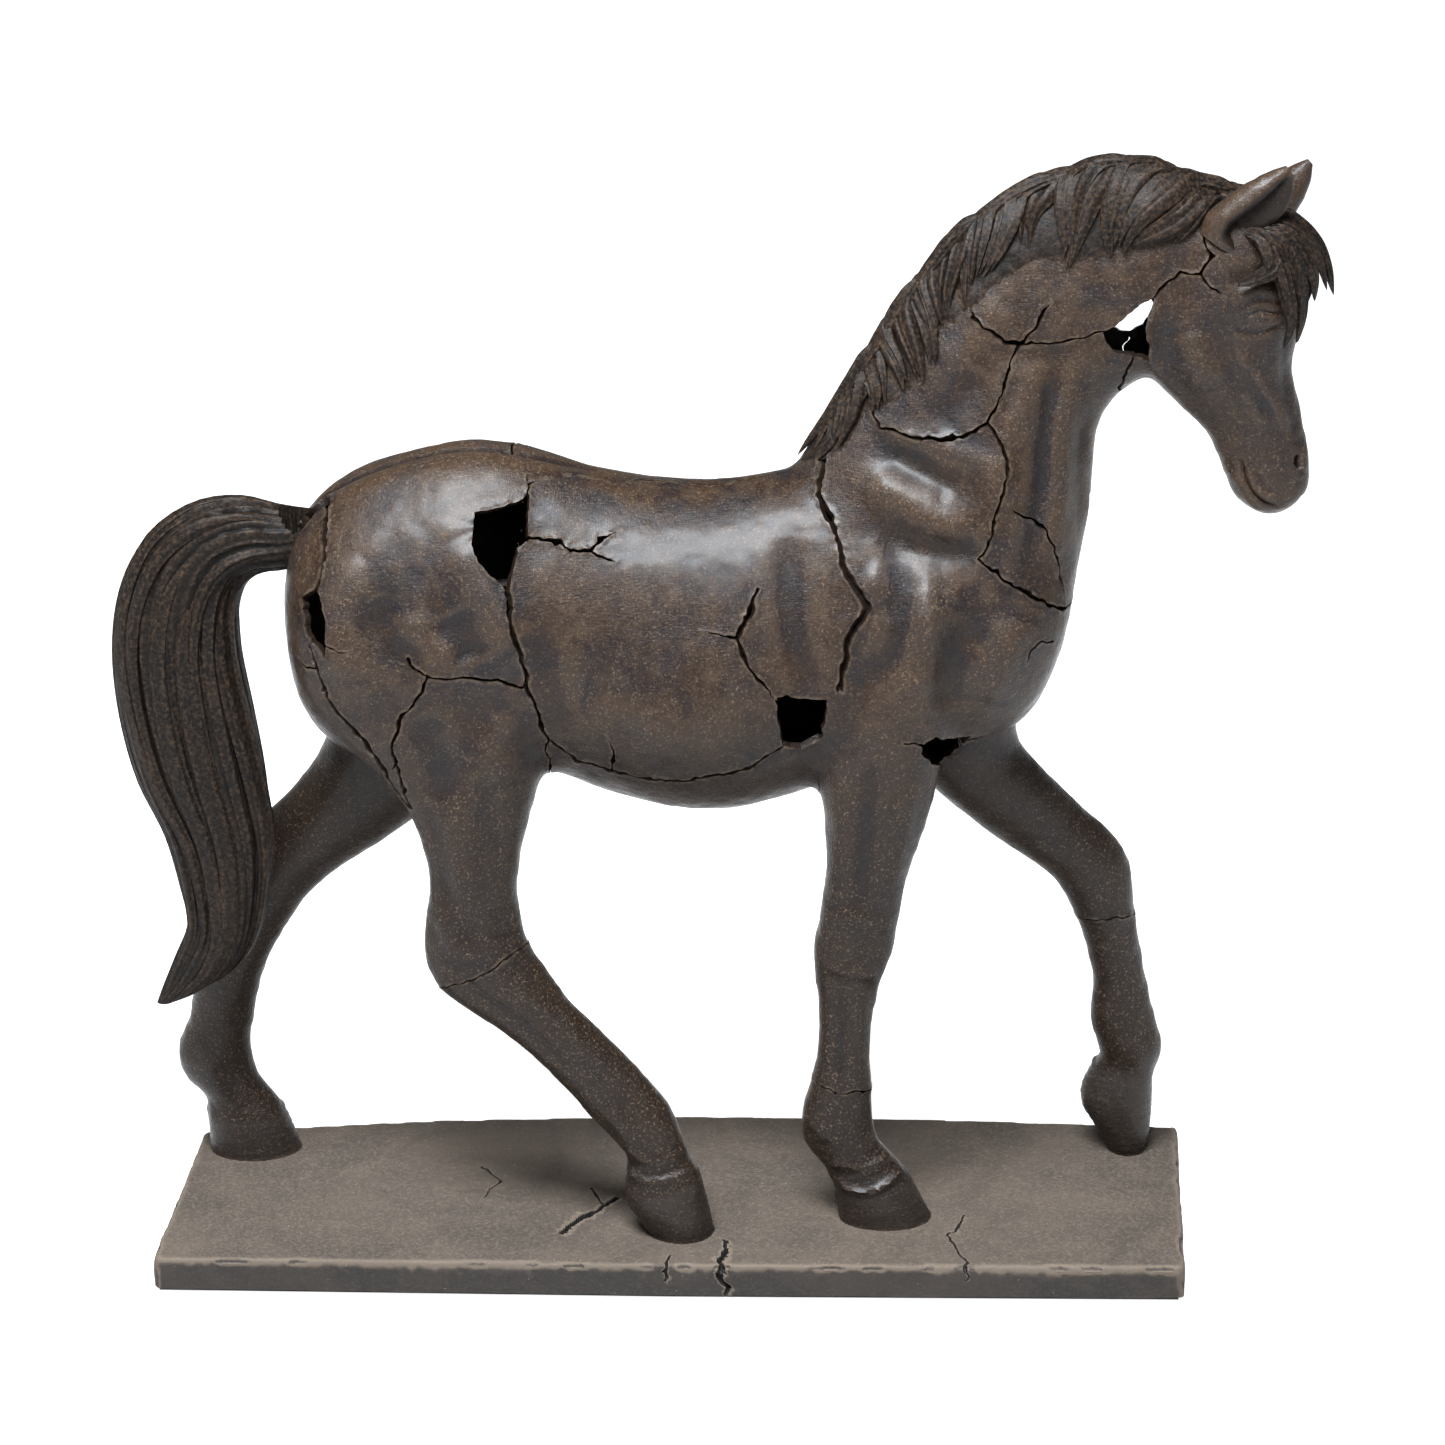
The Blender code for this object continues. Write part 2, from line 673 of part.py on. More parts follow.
def make_shell(skin, core):
    """The cast plates between the cracks, hollow in the trunk and with a channel down each leg."""
    shell = boolean(duplicate(skin, "shell"), core, "DIFFERENCE")
    for name in LEGS:
        channel = tube("channel", leg_route(name), CHANNEL_RADIUS)
        boolean(shell, channel, "DIFFERENCE")
        remove(channel)
    channel = tube("channel", SPINE[-3:-1] + [SPINE_END], CHANNEL_RADIUS)
    boolean(shell, channel, "DIFFERENCE")
    remove(channel)
    for name, outline, low_y, high_y in HOLES:
        hole = prism(name, outline, low_y, high_y)
        boolean(shell, hole, "DIFFERENCE")
        remove(hole)
    plates = []
    spans = {
        "right": (-REACH, MID_Y - CRACK / 2),
        "left": (MID_Y + CRACK / 2, REACH),
        "both": (-REACH, REACH),
    }
    for name, (outline, side) in FRAGMENTS.items():
        region = prism("region", outline, *spans[side], gap=CRACK / 2)
        plates.append(boolean(duplicate(shell, name), region, "INTERSECT"))
        remove(region)
    remove(shell)
    return plates


def make_hair(skin, mane_skin):
    """Ears, forelock, mane and tail, each cut to fit the horse's skin."""
    clearance = grown(skin, SEAT)
    ears = [
        loft("ear_right", EAR_RIGHT, sides=HAIR_SIDES, steps=2),
        loft("ear_left", EAR_LEFT, sides=HAIR_SIDES, steps=2),
    ]
    forelock = loft("forelock", FORELOCK, sides=HAIR_SIDES, steps=2)
    tail = loft("tail", TAIL, sides=HAIR_SIDES, steps=2)
    for piece in ears + [forelock, tail]:
        boolean(piece, clearance, "DIFFERENCE")
    for ear in ears:
        room = grown(ear, SEAT)
        boolean(forelock, room, "DIFFERENCE")
        remove(room)
    manes = []
    for name, outline in MANES.items():
        region = prism("region", outline, *MANE_SPAN, gap=SEAT / 2)
        lock = boolean(duplicate(mane_skin, name), region, "INTERSECT")
        manes.append(boolean(lock, clearance, "DIFFERENCE"))
        remove(region)
    remove(clearance)
    return ears + [forelock, tail] + manes


def make_base():
    """The hollow plinth, the felt that closes it underneath, and the nuts and washers of the rods."""
    low = FELT_THICK + SEAT
    high = PLINTH_TOP - SEAT
    ceiling = high - PLINTH_WALL
    plinth = slab("plinth", PLINTH_OUTLINE, low, high)
    edges = plinth.modifiers.new("edges", "BEVEL")
    edges.width = PLINTH_EDGE * MM
    edges.segments = 2
    bake(plinth)
    hollow = slab("hollow", inset_outline(PLINTH_OUTLINE, PLINTH_WALL), -BEYOND, ceiling)
    boolean(plinth, hollow, "DIFFERENCE")
    remove(hollow)
    felt = slab("felt_sheet", inset_outline(PLINTH_OUTLINE, FELT_SETBACK), 0, FELT_THICK)
    pieces = [plinth, felt]
    for name in LEGS:
        x, y, _ = leg_route(name)[-1]
        drill = cylinder("drill", x, y, -BEYOND, PLINTH_TOP + BEYOND, CHANNEL_RADIUS, ROUND_SIDES)
        boolean(plinth, drill, "DIFFERENCE")
        washer_low = ceiling - SEAT - WASHER_THICK
        nut_low = washer_low - SEAT - NUT_THICK
        washer_high = ceiling - SEAT
        nut_high = washer_low - SEAT
        washer = cylinder(name + "_washer", x, y, washer_low, washer_high, WASHER_RADIUS, ROUND_SIDES)
        nut = cylinder(name + "_nut", x, y, nut_low, nut_high, NUT_RADIUS, NUT_SIDES)
        for fastener in (washer, nut):
            pieces.append(boolean(fastener, drill, "DIFFERENCE"))
        remove(drill)
    return pieces


def material_for(name):
    """The Principled BSDF of the slot that a piece belongs to."""
    if name == "plinth":
        slot = "plinth"
    elif name == "felt_sheet":
        slot = "felt"
    elif name.endswith(("_rod", "_nut", "_washer")):
        slot = "steel"
    else:
        slot = "bronze"
    found = bpy.data.materials.get(slot)
    if found:
        return found
    colour, roughness, metallic = COLOURS[slot]
    found = bpy.data.materials.new(slot)
    found.use_nodes = True
    shader = found.node_tree.nodes["Principled BSDF"]
    shader.inputs["Base Color"].default_value = (*colour, 1)
    shader.inputs["Roughness"].default_value = roughness
    shader.inputs["Metallic"].default_value = metallic
    return found


def main():
    for old in list(bpy.data.objects):
        bpy.data.objects.remove(old)
    skin, core, mane_skin = make_skins()
    pieces = make_shell(skin, core) + make_hair(skin, mane_skin) + make_armature() + make_base()
    remove(skin, core, mane_skin)
    statue = bpy.data.collections.new("bronze_horse")
    bpy.context.scene.collection.children.link(statue)
    for piece in pieces:
        bpy.context.scene.collection.objects.unlink(piece)
        statue.objects.link(piece)
        piece.data.materials.clear()
        piece.data.materials.append(material_for(piece.name))


main()
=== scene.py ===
"""Looks of the cracked bronze horse statue.

The horse's skin is modelled once as a fine mesh, sculpted with soft strokes, cut along its
cracks and shared out to the cast plates. Lengths are in millimetres until a mesh is made.
"""

import math

import bmesh
import bpy
import numpy as np
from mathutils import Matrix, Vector
from mathutils.bvhtree import BVHTree


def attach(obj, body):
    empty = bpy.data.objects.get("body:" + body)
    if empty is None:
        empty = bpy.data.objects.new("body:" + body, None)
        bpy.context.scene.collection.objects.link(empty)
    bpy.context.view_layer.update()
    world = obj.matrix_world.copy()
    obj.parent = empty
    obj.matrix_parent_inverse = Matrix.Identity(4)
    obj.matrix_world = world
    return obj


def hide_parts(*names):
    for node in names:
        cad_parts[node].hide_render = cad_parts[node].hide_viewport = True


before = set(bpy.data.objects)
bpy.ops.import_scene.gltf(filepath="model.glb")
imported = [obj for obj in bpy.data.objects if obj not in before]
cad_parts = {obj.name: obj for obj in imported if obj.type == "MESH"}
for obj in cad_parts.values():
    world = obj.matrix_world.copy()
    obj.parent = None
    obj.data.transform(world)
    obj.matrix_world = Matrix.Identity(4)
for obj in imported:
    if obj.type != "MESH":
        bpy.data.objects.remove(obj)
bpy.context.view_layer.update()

MM = 0.001
MID_Y = 6.0
PLINTH_TOP = 14.5
SKIN_THICK = 3.0
FELT_TOP = 1.6
ROD_ROOM = 2.6  # radius of the holes that the rods pass through
WALL_LEAN = 1.15  # how far a crack's walls lean together, in crack half widths
STRAY_AREA = 60  # a patch of a plate smaller than this joins the plate round it, in square millimetres
CRUMB_AREA = 3  # a loose crumb smaller than this is left out
DROPPED = -2  # the label of what is left out

# Ribs are (front or top x, z, back or bottom x, z, centre y, half width)
TORSO = [
    (-142, 263, -141, 240, 6, 15),
    (-139, 279, -137, 220, 6, 27),
    (-131, 292, -130, 207, 6, 36),
    (-116, 303, -119, 198, 6, 42),
    (-95, 311, -97, 192, 6, 45),
    (-72, 315.5, -74, 192, 6, 45),
    (-50, 312.5, -50, 193, 6, 43.5),
    (-25, 306, -25, 184, 6, 45),
    (0, 302.5, 0, 177.5, 6, 46.5),
    (22, 302, 24, 176.5, 6, 46),
    (44, 306, 48, 183, 6, 43.5),
    (64, 309, 68, 190, 6, 41),
    (86, 309, 92, 196, 6, 39.5),
    (108, 306, 112, 202, 6, 38),
    (127, 302, 128, 209, 6, 34),
    (140, 295, 137, 219, 6, 28),
    (149, 286, 143, 233, 6, 20),
    (152, 278, 147, 247, 6, 10),
]
NECK = [
    (34, 290, 112, 222, 6, 38),
    (42, 303, 132, 240, 6, 36),
    (50, 314, 147, 262, 6, 32),
    (60, 326, 154, 285, 6, 27.5),
    (71, 343, 155, 306, 6, 23.5),
    (84, 364, 157, 325, 6, 20.5),
    (99, 386, 163.5, 337, 6, 18),
    (118, 404, 172.5, 343, 6, 16.5),
    (143, 416, 184, 350, 6, 15.5),
    (168, 420, 194, 365, 6, 14.5),
    (188, 414, 204, 384, 6, 12),
]
HEAD = [
    (206, 411, 192, 408, 6, 8),
    (217, 403, 181, 396, 6, 15.5),
    (225, 390, 173, 380, 6, 18.5),
    (228, 374, 170, 363, 6, 20),
    (227, 359, 173, 346, 6, 18.5),
    (226, 346, 185, 334, 6, 15.5),
    (229, 334, 194, 325, 6, 12.8),
    (232, 322, 200, 314, 6, 11.3),
    (234, 311, 204, 304, 6, 11.2),
    (234, 302, 208, 297, 6, 10.6),
    (230, 296, 214, 293, 6, 8),
    (226, 293, 219, 291, 6, 4),
]
HIND_RIGHT = [
    (-40, 250, -134, 256, -12, 25),
    (-42, 222, -131, 222, -14, 24.5),
    (-45, 201, -115, 204, -17, 21.5),
    (-49, 186, -100, 189, -20, 18.5),
    (-53, 170, -92, 172, -23, 15.5),
    (-55, 155, -89, 155, -25, 13),
    (-54, 141, -91, 140, -26, 11.5),
    (-51, 130, -92, 127, -27, 11),
    (-43, 118, -86, 113, -27.5, 10.6),
    (-33.5, 104.5, -60, 94, -28, 9.6),
    (-20.5, 90.5, -42, 76.5, -28.5, 9),
    (-8, 77.5, -31, 62.5, -29, 9),
    (0, 68, -22, 53, -29.5, 9.8),
    (4, 59, -16, 47, -30, 9.4),
    (7, 49, -16, 39, -30.5, 9),
    (11, 39, -18, 31, -31, 10.5),
]
HOOF_HIND_RIGHT = [
    (12, 41, -18, 32, -31, 11),
    (14, 32, -15, 24, -31, 12),
    (17, 18, -7, 13, -31, 12.5),
    (18, 10, -4, 4, -31, 12.5),
]
HIND_LEFT = [
    (-48, 248, -132, 258, 25, 25),
    (-56, 214, -133, 232, 27, 24),
    (-76, 182, -128, 208, 30, 20.5),
    (-96, 161, -134, 187, 32, 17),
    (-112, 148, -145, 171, 33, 14),
    (-128, 137, -158, 158, 34, 12.2),
    (-141, 125, -172, 142, 34.5, 11.5),
    (-150, 112, -185, 125, 35, 11),
    (-156, 101, -186, 104, 35, 10.6),
    (-161, 88, -187, 88, 35, 9.6),
    (-165, 70, -191, 70, 35.5, 9.2),
    (-166, 58, -196, 56, 36, 10.2),
    (-164, 47, -193, 45, 36, 9.6),
    (-158, 38, -185, 37, 36, 9.4),
    (-154, 30, -185, 29, 36, 11),
]
HOOF_HIND_LEFT = [
    (-155, 34, -186, 32, 36, 11.5),
    (-151, 25, -185, 23, 36, 12.5),
    (-147, 12, -184, 10, 36, 13.5),
    (-145, 6, -184, 4, 36, 13.5),
]
FORE_RIGHT = [
    (114, 268, 56, 262, -14, 23),
    (109, 234, 56, 232, -17, 21),
    (102, 208, 56.5, 208, -19.5, 17.5),
    (99, 188, 57, 188, -20.5, 14.8),
    (94, 170, 58, 170, -21, 12.8),
    (89, 154, 58, 154, -21, 11.4),
    (87, 140, 56, 140, -20.5, 11),
    (85, 127, 54, 127, -20, 10.6),
    (80, 112, 55, 112, -19.5, 9),
    (77, 92, 56, 92, -19, 8.5),
    (77, 74, 54, 74, -18.5, 9),
    (78, 58, 50, 58, -18, 10.2),
    (80, 47, 51, 46, -18, 9.6),
    (87, 39, 57, 38, -18, 9.6),
    (93, 31, 62, 30, -18, 11.5),
]
HOOF_FORE_RIGHT = [
    (92, 34, 61, 32, -18, 12),
    (96, 25, 63, 24, -18, 13),
    (102, 12, 65, 11, -18, 14),
    (104, 6, 66, 5, -18, 14),
]
FORE_LEFT = [
    (136, 246, 72, 236, 24, 22),
    (133, 218, 82, 203, 27, 19),
    (132, 195, 96, 177, 30, 15.5),
    (142, 180, 112, 161, 32, 13.5),
    (156, 165, 129, 147, 35, 12),
    (171, 150, 145, 135, 37, 11.4),
    (178, 136, 152, 124, 38, 11),
    (180, 118, 157, 114, 38.5, 10),
    (183, 102, 161, 101, 39, 8.8),
    (186, 86, 164, 86, 39.5, 8.5),
    (190, 71, 163, 73, 40, 9),
    (193, 58, 167, 60, 41, 10),
    (190, 48, 169, 52, 42, 9.4),
]
HOOF_FORE_LEFT = [
    (190, 51, 168, 54, 42, 9.5),
    (190, 44, 163, 47, 42, 11),
    (190, 34, 160, 36, 42, 11.8),
    (189, 22, 168, 22, 42, 11),
    (187, 10, 175, 10, 42, 9),
]
TAIL = [
    (-132, 292, -132, 268, 6, 11),
    (-143, 293, -142, 267, 6, 12.5),
    (-158, 295.5, -152, 266, 6, 14),
    (-175, 292, -159, 261, 6, 15),
    (-191, 280, -162, 252, 6, 16),
    (-201, 260, -162, 243, 6, 17),
    (-205, 237, -161, 231, 6, 17),
    (-204, 211, -157, 209, 6, 17),
    (-199, 185, -153, 185, 6, 16),
    (-190, 162, -151, 162, 6, 15),
    (-186, 140, -153, 142, 6, 14),
    (-185, 124, -158, 121, 6, 12),
    (-190, 111, -167, 106, 6, 9),
    (-195, 99, -181, 96, 6, 6),
    (-198, 91, -192, 91, 6, 2.5),
]

# Cracks and outlines are (x, z) points, read from the horse's right side
WITHERS_CRACK = [(60, 345), (57, 316), (55, 303), (60, 293), (65, 280), (73, 267), (66, 255), (63, 236)]
LEFT_WITHERS_CRACK = [
    (60, 345), (66, 318), (60, 300), (70, 280), (66, 262), (70, 245), (64, 228), (56, 216),
]
BELLY_CRACK = [(-44, 215), (-32, 206), (-10, 200), (9, 200), (31, 206), (43, 215)]
FLANK_CRACK = [(-57, 273), (-55, 261), (-51, 246), (-50, 237)]
LEFT_FLANK_CRACK = [(-50, 345), (-60, 300), (-54, 280), (-58, 262), (-50, 245)]
GROIN_CRACK = [(-50, 237), (-46, 226), (-44, 215)]
FLANK_EDGE = [(-44, 215), (-43, 186), (-30, 180), (-30, 150)]
THIGH_CRACK = [
    (-50, 237), (-60, 240), (-74, 241), (-87, 242), (-89, 235), (-97, 224), (-100, 212),
    (-97, 199), (-95, 187),
]
LEFT_THIGH_CRACK = [
    (-50, 245), (-64, 238), (-80, 243), (-98, 228), (-112, 216), (-128, 213), (-165, 205),
]
BUTTOCK_CRACK = [(-95, 187), (-100, 194), (-107, 209), (-118, 223), (-124, 234), (-126, 242)]
HOCK_CRACK = [(-40, 137), (-60, 129), (-77, 119), (-100, 108)]
FETLOCK_CRACK = [(100, 68), (76, 69.5), (63, 71), (40, 75)]
KNEE_CRACK = [(200, 116), (171, 119), (158, 117), (140, 117)]
NECK_BASE_CRACK = [(60, 345), (72, 336), (77, 328), (91, 325), (106, 327), (115, 331)]
THROAT_CRACK = [(115, 331), (118, 336), (122, 347), (125, 358), (127, 360)]
CHEST_CRACK = [(115, 331), (120, 326), (123, 315), (120, 305), (118, 292), (113, 283)]
BREAST_CRACK = [(113, 283), (116, 281), (126, 274), (137, 265), (144, 261), (172, 258)]
CREST_BREAK = [(104, 430), (108, 391), (109, 369)]
COLLAR_CRACK = [(109, 369), (121, 361), (127, 360)]
COLLAR_FRONT_CRACK = [(127, 360), (137, 360), (148, 362), (156, 364)]
POLL_CRACK = [
    (172, 375), (178, 381), (183, 385), (190, 385), (194, 392), (191, 399), (193, 408),
    (196, 430),
]
JAW_CRACK = [(168, 354), (166, 350), (163, 341), (172, 330)]
SPINE_CRACK = [
    (-50, -12), (-44, -8), (-39, -5), (-32, -1), (-25, -1), (-17, -2), (-10, 4), (4, 6), (12, 3),
    (21, 3), (28, 6),
]

# Each plate: its outline and the sides of the midplane that it covers
FRAGMENTS = {
    "barrel_right": (
        [(-50, 345)]
        + WITHERS_CRACK
        + [(40, 236), (42, 226)]
        + BELLY_CRACK[::-1]
        + GROIN_CRACK[1::-1]
        + FLANK_CRACK[-2::-1]
        + [(-54, 287), (-50, 291), (-50, 305)],
        "right",
    ),
    "barrel_left": (
        LEFT_WITHERS_CRACK + BELLY_CRACK[::-1] + [(-50, 228)] + LEFT_FLANK_CRACK[::-1],
        "left",
    ),
    "belly": (BELLY_CRACK + [(49, 213), (56, 216), (56, 150)] + FLANK_EDGE[:0:-1], "both"),
    "rump_right": (
        [(-125, 345), (-50, 345), (-50, 305), (-56, 302), (-70, 300), (-68, 287), (-61, 277)]
        + FLANK_CRACK
        + THIGH_CRACK[1:]
        + BUTTOCK_CRACK[1:]
        + [(-123, 248), (-123, 261), (-126, 272), (-124, 281), (-125, 300)],
        "right",
    ),
    "buttock_right": (
        [
            (-165, 345), (-125, 345), (-125, 300), (-124, 281), (-126, 272), (-132, 267),
            (-132, 258), (-129, 250),
        ]
        + BUTTOCK_CRACK[::-1]
        + [(-105, 175), (-165, 175)],
        "right",
    ),
    "rump_left": ([(-165, 345)] + LEFT_FLANK_CRACK + LEFT_THIGH_CRACK[1:], "left"),
    "thigh_right": (
        GROIN_CRACK + FLANK_EDGE[1:] + HOCK_CRACK + [(-120, 150), (-105, 175)] + THIGH_CRACK[:0:-1],
        "right",
    ),
    "hind_leg_left": (
        LEFT_THIGH_CRACK[::-1]
        + [(-50, 228)]
        + FLANK_EDGE
        + [(-60, 100), (-130, 14.5), (-215, 14.5), (-215, 205)],
        "left",
    ),
    "hind_leg_right_lower": (
        HOCK_CRACK[::-1] + [(30, 100), (30, 14.5), (-40, 14.5), (-100, 80)],
        "right",
    ),
    "shoulder_right": (
        NECK_BASE_CRACK
        + CHEST_CRACK[1:]
        + BREAST_CRACK[1:]
        + [(172, 190), (112, 170)]
        + FETLOCK_CRACK
        + [(40, 150), (56, 150), (56, 216), (60, 233)]
        + WITHERS_CRACK[:0:-1],
        "right",
    ),
    "shoulder_left": (
        NECK_BASE_CRACK
        + CHEST_CRACK[1:]
        + BREAST_CRACK[1:]
        + [(200, 200)]
        + KNEE_CRACK
        + [(56, 150)]
        + LEFT_WITHERS_CRACK[:0:-1],
        "left",
    ),
    "fore_leg_right_lower": (
        FETLOCK_CRACK[::-1] + [(120, 60), (120, 14.5), (40, 14.5)],
        "right",
    ),
    "fore_leg_left_lower": (
        KNEE_CRACK[::-1] + [(215, 116), (215, 14.5), (140, 14.5)],
        "left",
    ),
    "neck_middle": (
        NECK_BASE_CRACK + THROAT_CRACK[1:] + COLLAR_CRACK[-2::-1] + CREST_BREAK[-2::-1] + [(40, 430)],
        "both",
    ),
    "neck_throat": (
        THROAT_CRACK
        + COLLAR_FRONT_CRACK[1:]
        + [(159, 359)]
        + JAW_CRACK
        + [(172, 258)]
        + BREAST_CRACK[-2::-1]
        + CHEST_CRACK[-2:0:-1],
        "both",
    ),
    "neck_upper": (
        CREST_BREAK + COLLAR_CRACK[1:] + COLLAR_FRONT_CRACK[1:] + [(159, 368), (168, 373)] + POLL_CRACK,
        "both",
    ),
    "head": (
        POLL_CRACK[::-1] + [(174, 352)] + JAW_CRACK + [(172, 275), (245, 275), (245, 430)],
        "both",
    ),
}

# Cracks that are open: (points, side, half width, whether the ends taper)
OPEN_CRACKS = [
    (WITHERS_CRACK, "right", 0.95, False),
    (LEFT_WITHERS_CRACK, "left", 0.7, False),
    (BELLY_CRACK, "both", 0.4, False),
    ([(40, 233), (42, 226), (43, 215), (49, 213), (56, 216)], "right", 0.45, False),
    ([(-50, 345), (-50, 290)], "right", 0.3, False),
    ([(-54, 287), (-57, 273)] + FLANK_CRACK[1:], "right", 0.6, False),
    (LEFT_FLANK_CRACK, "left", 0.5, False),
    (GROIN_CRACK, "right", 0.5, False),
    (FLANK_EDGE, "both", 0.3, False),
    (THIGH_CRACK, "right", 0.5, False),
    (LEFT_THIGH_CRACK, "left", 0.5, False),
    ([(-124, 300), (-124, 281), (-126, 272)], "right", 0.5, False),
    ([(-129, 250), (-126, 242)] + BUTTOCK_CRACK[::-1], "right", 0.55, False),
    (HOCK_CRACK, "right", 0.22, False),
    (FETLOCK_CRACK, "right", 0.22, False),
    (KNEE_CRACK, "left", 0.22, False),
    (NECK_BASE_CRACK, "both", 0.55, False),
    (THROAT_CRACK, "both", 0.35, False),
    (CHEST_CRACK, "both", 0.5, False),
    (BREAST_CRACK, "both", 0.4, False),
    (CREST_BREAK, "both", 0.35, False),
    (COLLAR_CRACK, "both", 0.55, False),
    (COLLAR_FRONT_CRACK, "both", 0.4, False),
    (POLL_CRACK, "both", 0.45, False),
    (JAW_CRACK, "both", 0.4, False),
    (
        [
            (33, 273), (32, 269), (30, 264), (27, 259), (26, 256), (29, 249), (32, 243),
            (36, 239), (40, 234),
        ],
        "right",
        0.55,
        True,
    ),
    ([(26, 256), (18, 258), (12, 259)], "right", 0.3, True),
    (
        [
            (-50, 291), (-44, 290), (-38, 288), (-35, 285), (-27, 286), (-24, 289), (-16, 292),
        ],
        "right",
        0.35,
        True,
    ),
    ([(-27, 286), (-24, 284), (-17, 282)], "right", 0.3, True),
    ([(127, 360), (132, 365), (133, 369), (137, 375)], "both", 0.45, True),
    (
        [
            (126, 301), (131, 297), (137, 292), (140, 286), (142, 280), (144, 270), (145, 262),
        ],
        "right",
        0.25,
        True,
    ),
    ([(141, 250), (136, 251), (133, 249), (131, 243)], "right", 0.3, True),
    ([(190, 385), (195, 380), (199, 378)], "right", 0.4, True),
    ([(87, 216), (94, 215), (108, 209), (123, 212)], "right", 0.35, True),
    ([(-93, 248), (-91, 244), (-87, 242)], "right", 0.35, True),
    ([(-100, 212), (-98, 207), (-101, 203)], "right", 0.3, True),
    ([(-126, 243), (-131, 242), (-135, 244)], "right", 0.35, True),
    ([(-124, 253), (-118, 251), (-113, 252)], "right", 0.25, True),
    ([(-20, 203), (-19, 212), (-22, 219)], "right", 0.25, True),
    ([(20, 300), (24, 285), (20, 268), (26, 250)], "left", 0.35, True),
    ([(-60, 280), (-80, 276), (-96, 282)], "left", 0.35, True),
    ([(80, 276), (96, 270), (110, 276)], "left", 0.35, True),
]
# Open holes: (outline, side, how far past the midplane they reach, slant of their walls)
HOLES = [
    (
        [
            (-70, 299), (-60, 300), (-55, 302), (-50, 304), (-50, 290), (-54, 287), (-57, 273),
            (-61, 277), (-67, 284), (-69, 289),
        ],
        "right",
        0,
        0,
    ),
    ([(40, 235), (59, 233), (57, 216), (49, 213), (43, 215), (42, 226)], "right", 0, 0),
    ([(-132, 267), (-126, 272), (-123, 261), (-123, 248), (-129, 253), (-132, 258)], "right", 0, 0),
    ([(156, 364), (162, 368), (168, 374), (174, 376), (171.5, 364), (174, 352), (160, 357)], "right", 0, 0),
    (
        [
            (158, 361), (161, 358.5), (164, 356.5), (168, 356.5), (172, 358.5), (178, 366),
            (170, 374), (160, 369),
        ],
        "left",
        0,
        0,
    ),
    ([(93, 206), (94, 210), (99, 212), (112, 213), (106, 206), (101, 202), (97, 202)], "right", 24, 0.39),
]
PIT_FLOOR = 274  # height of the tail's surface under the hole at its root
TAIL_HOLE = [(-144, 4), (-137, 9), (-125, 3), (-123, -6), (-133, -5), (-140, -3)]

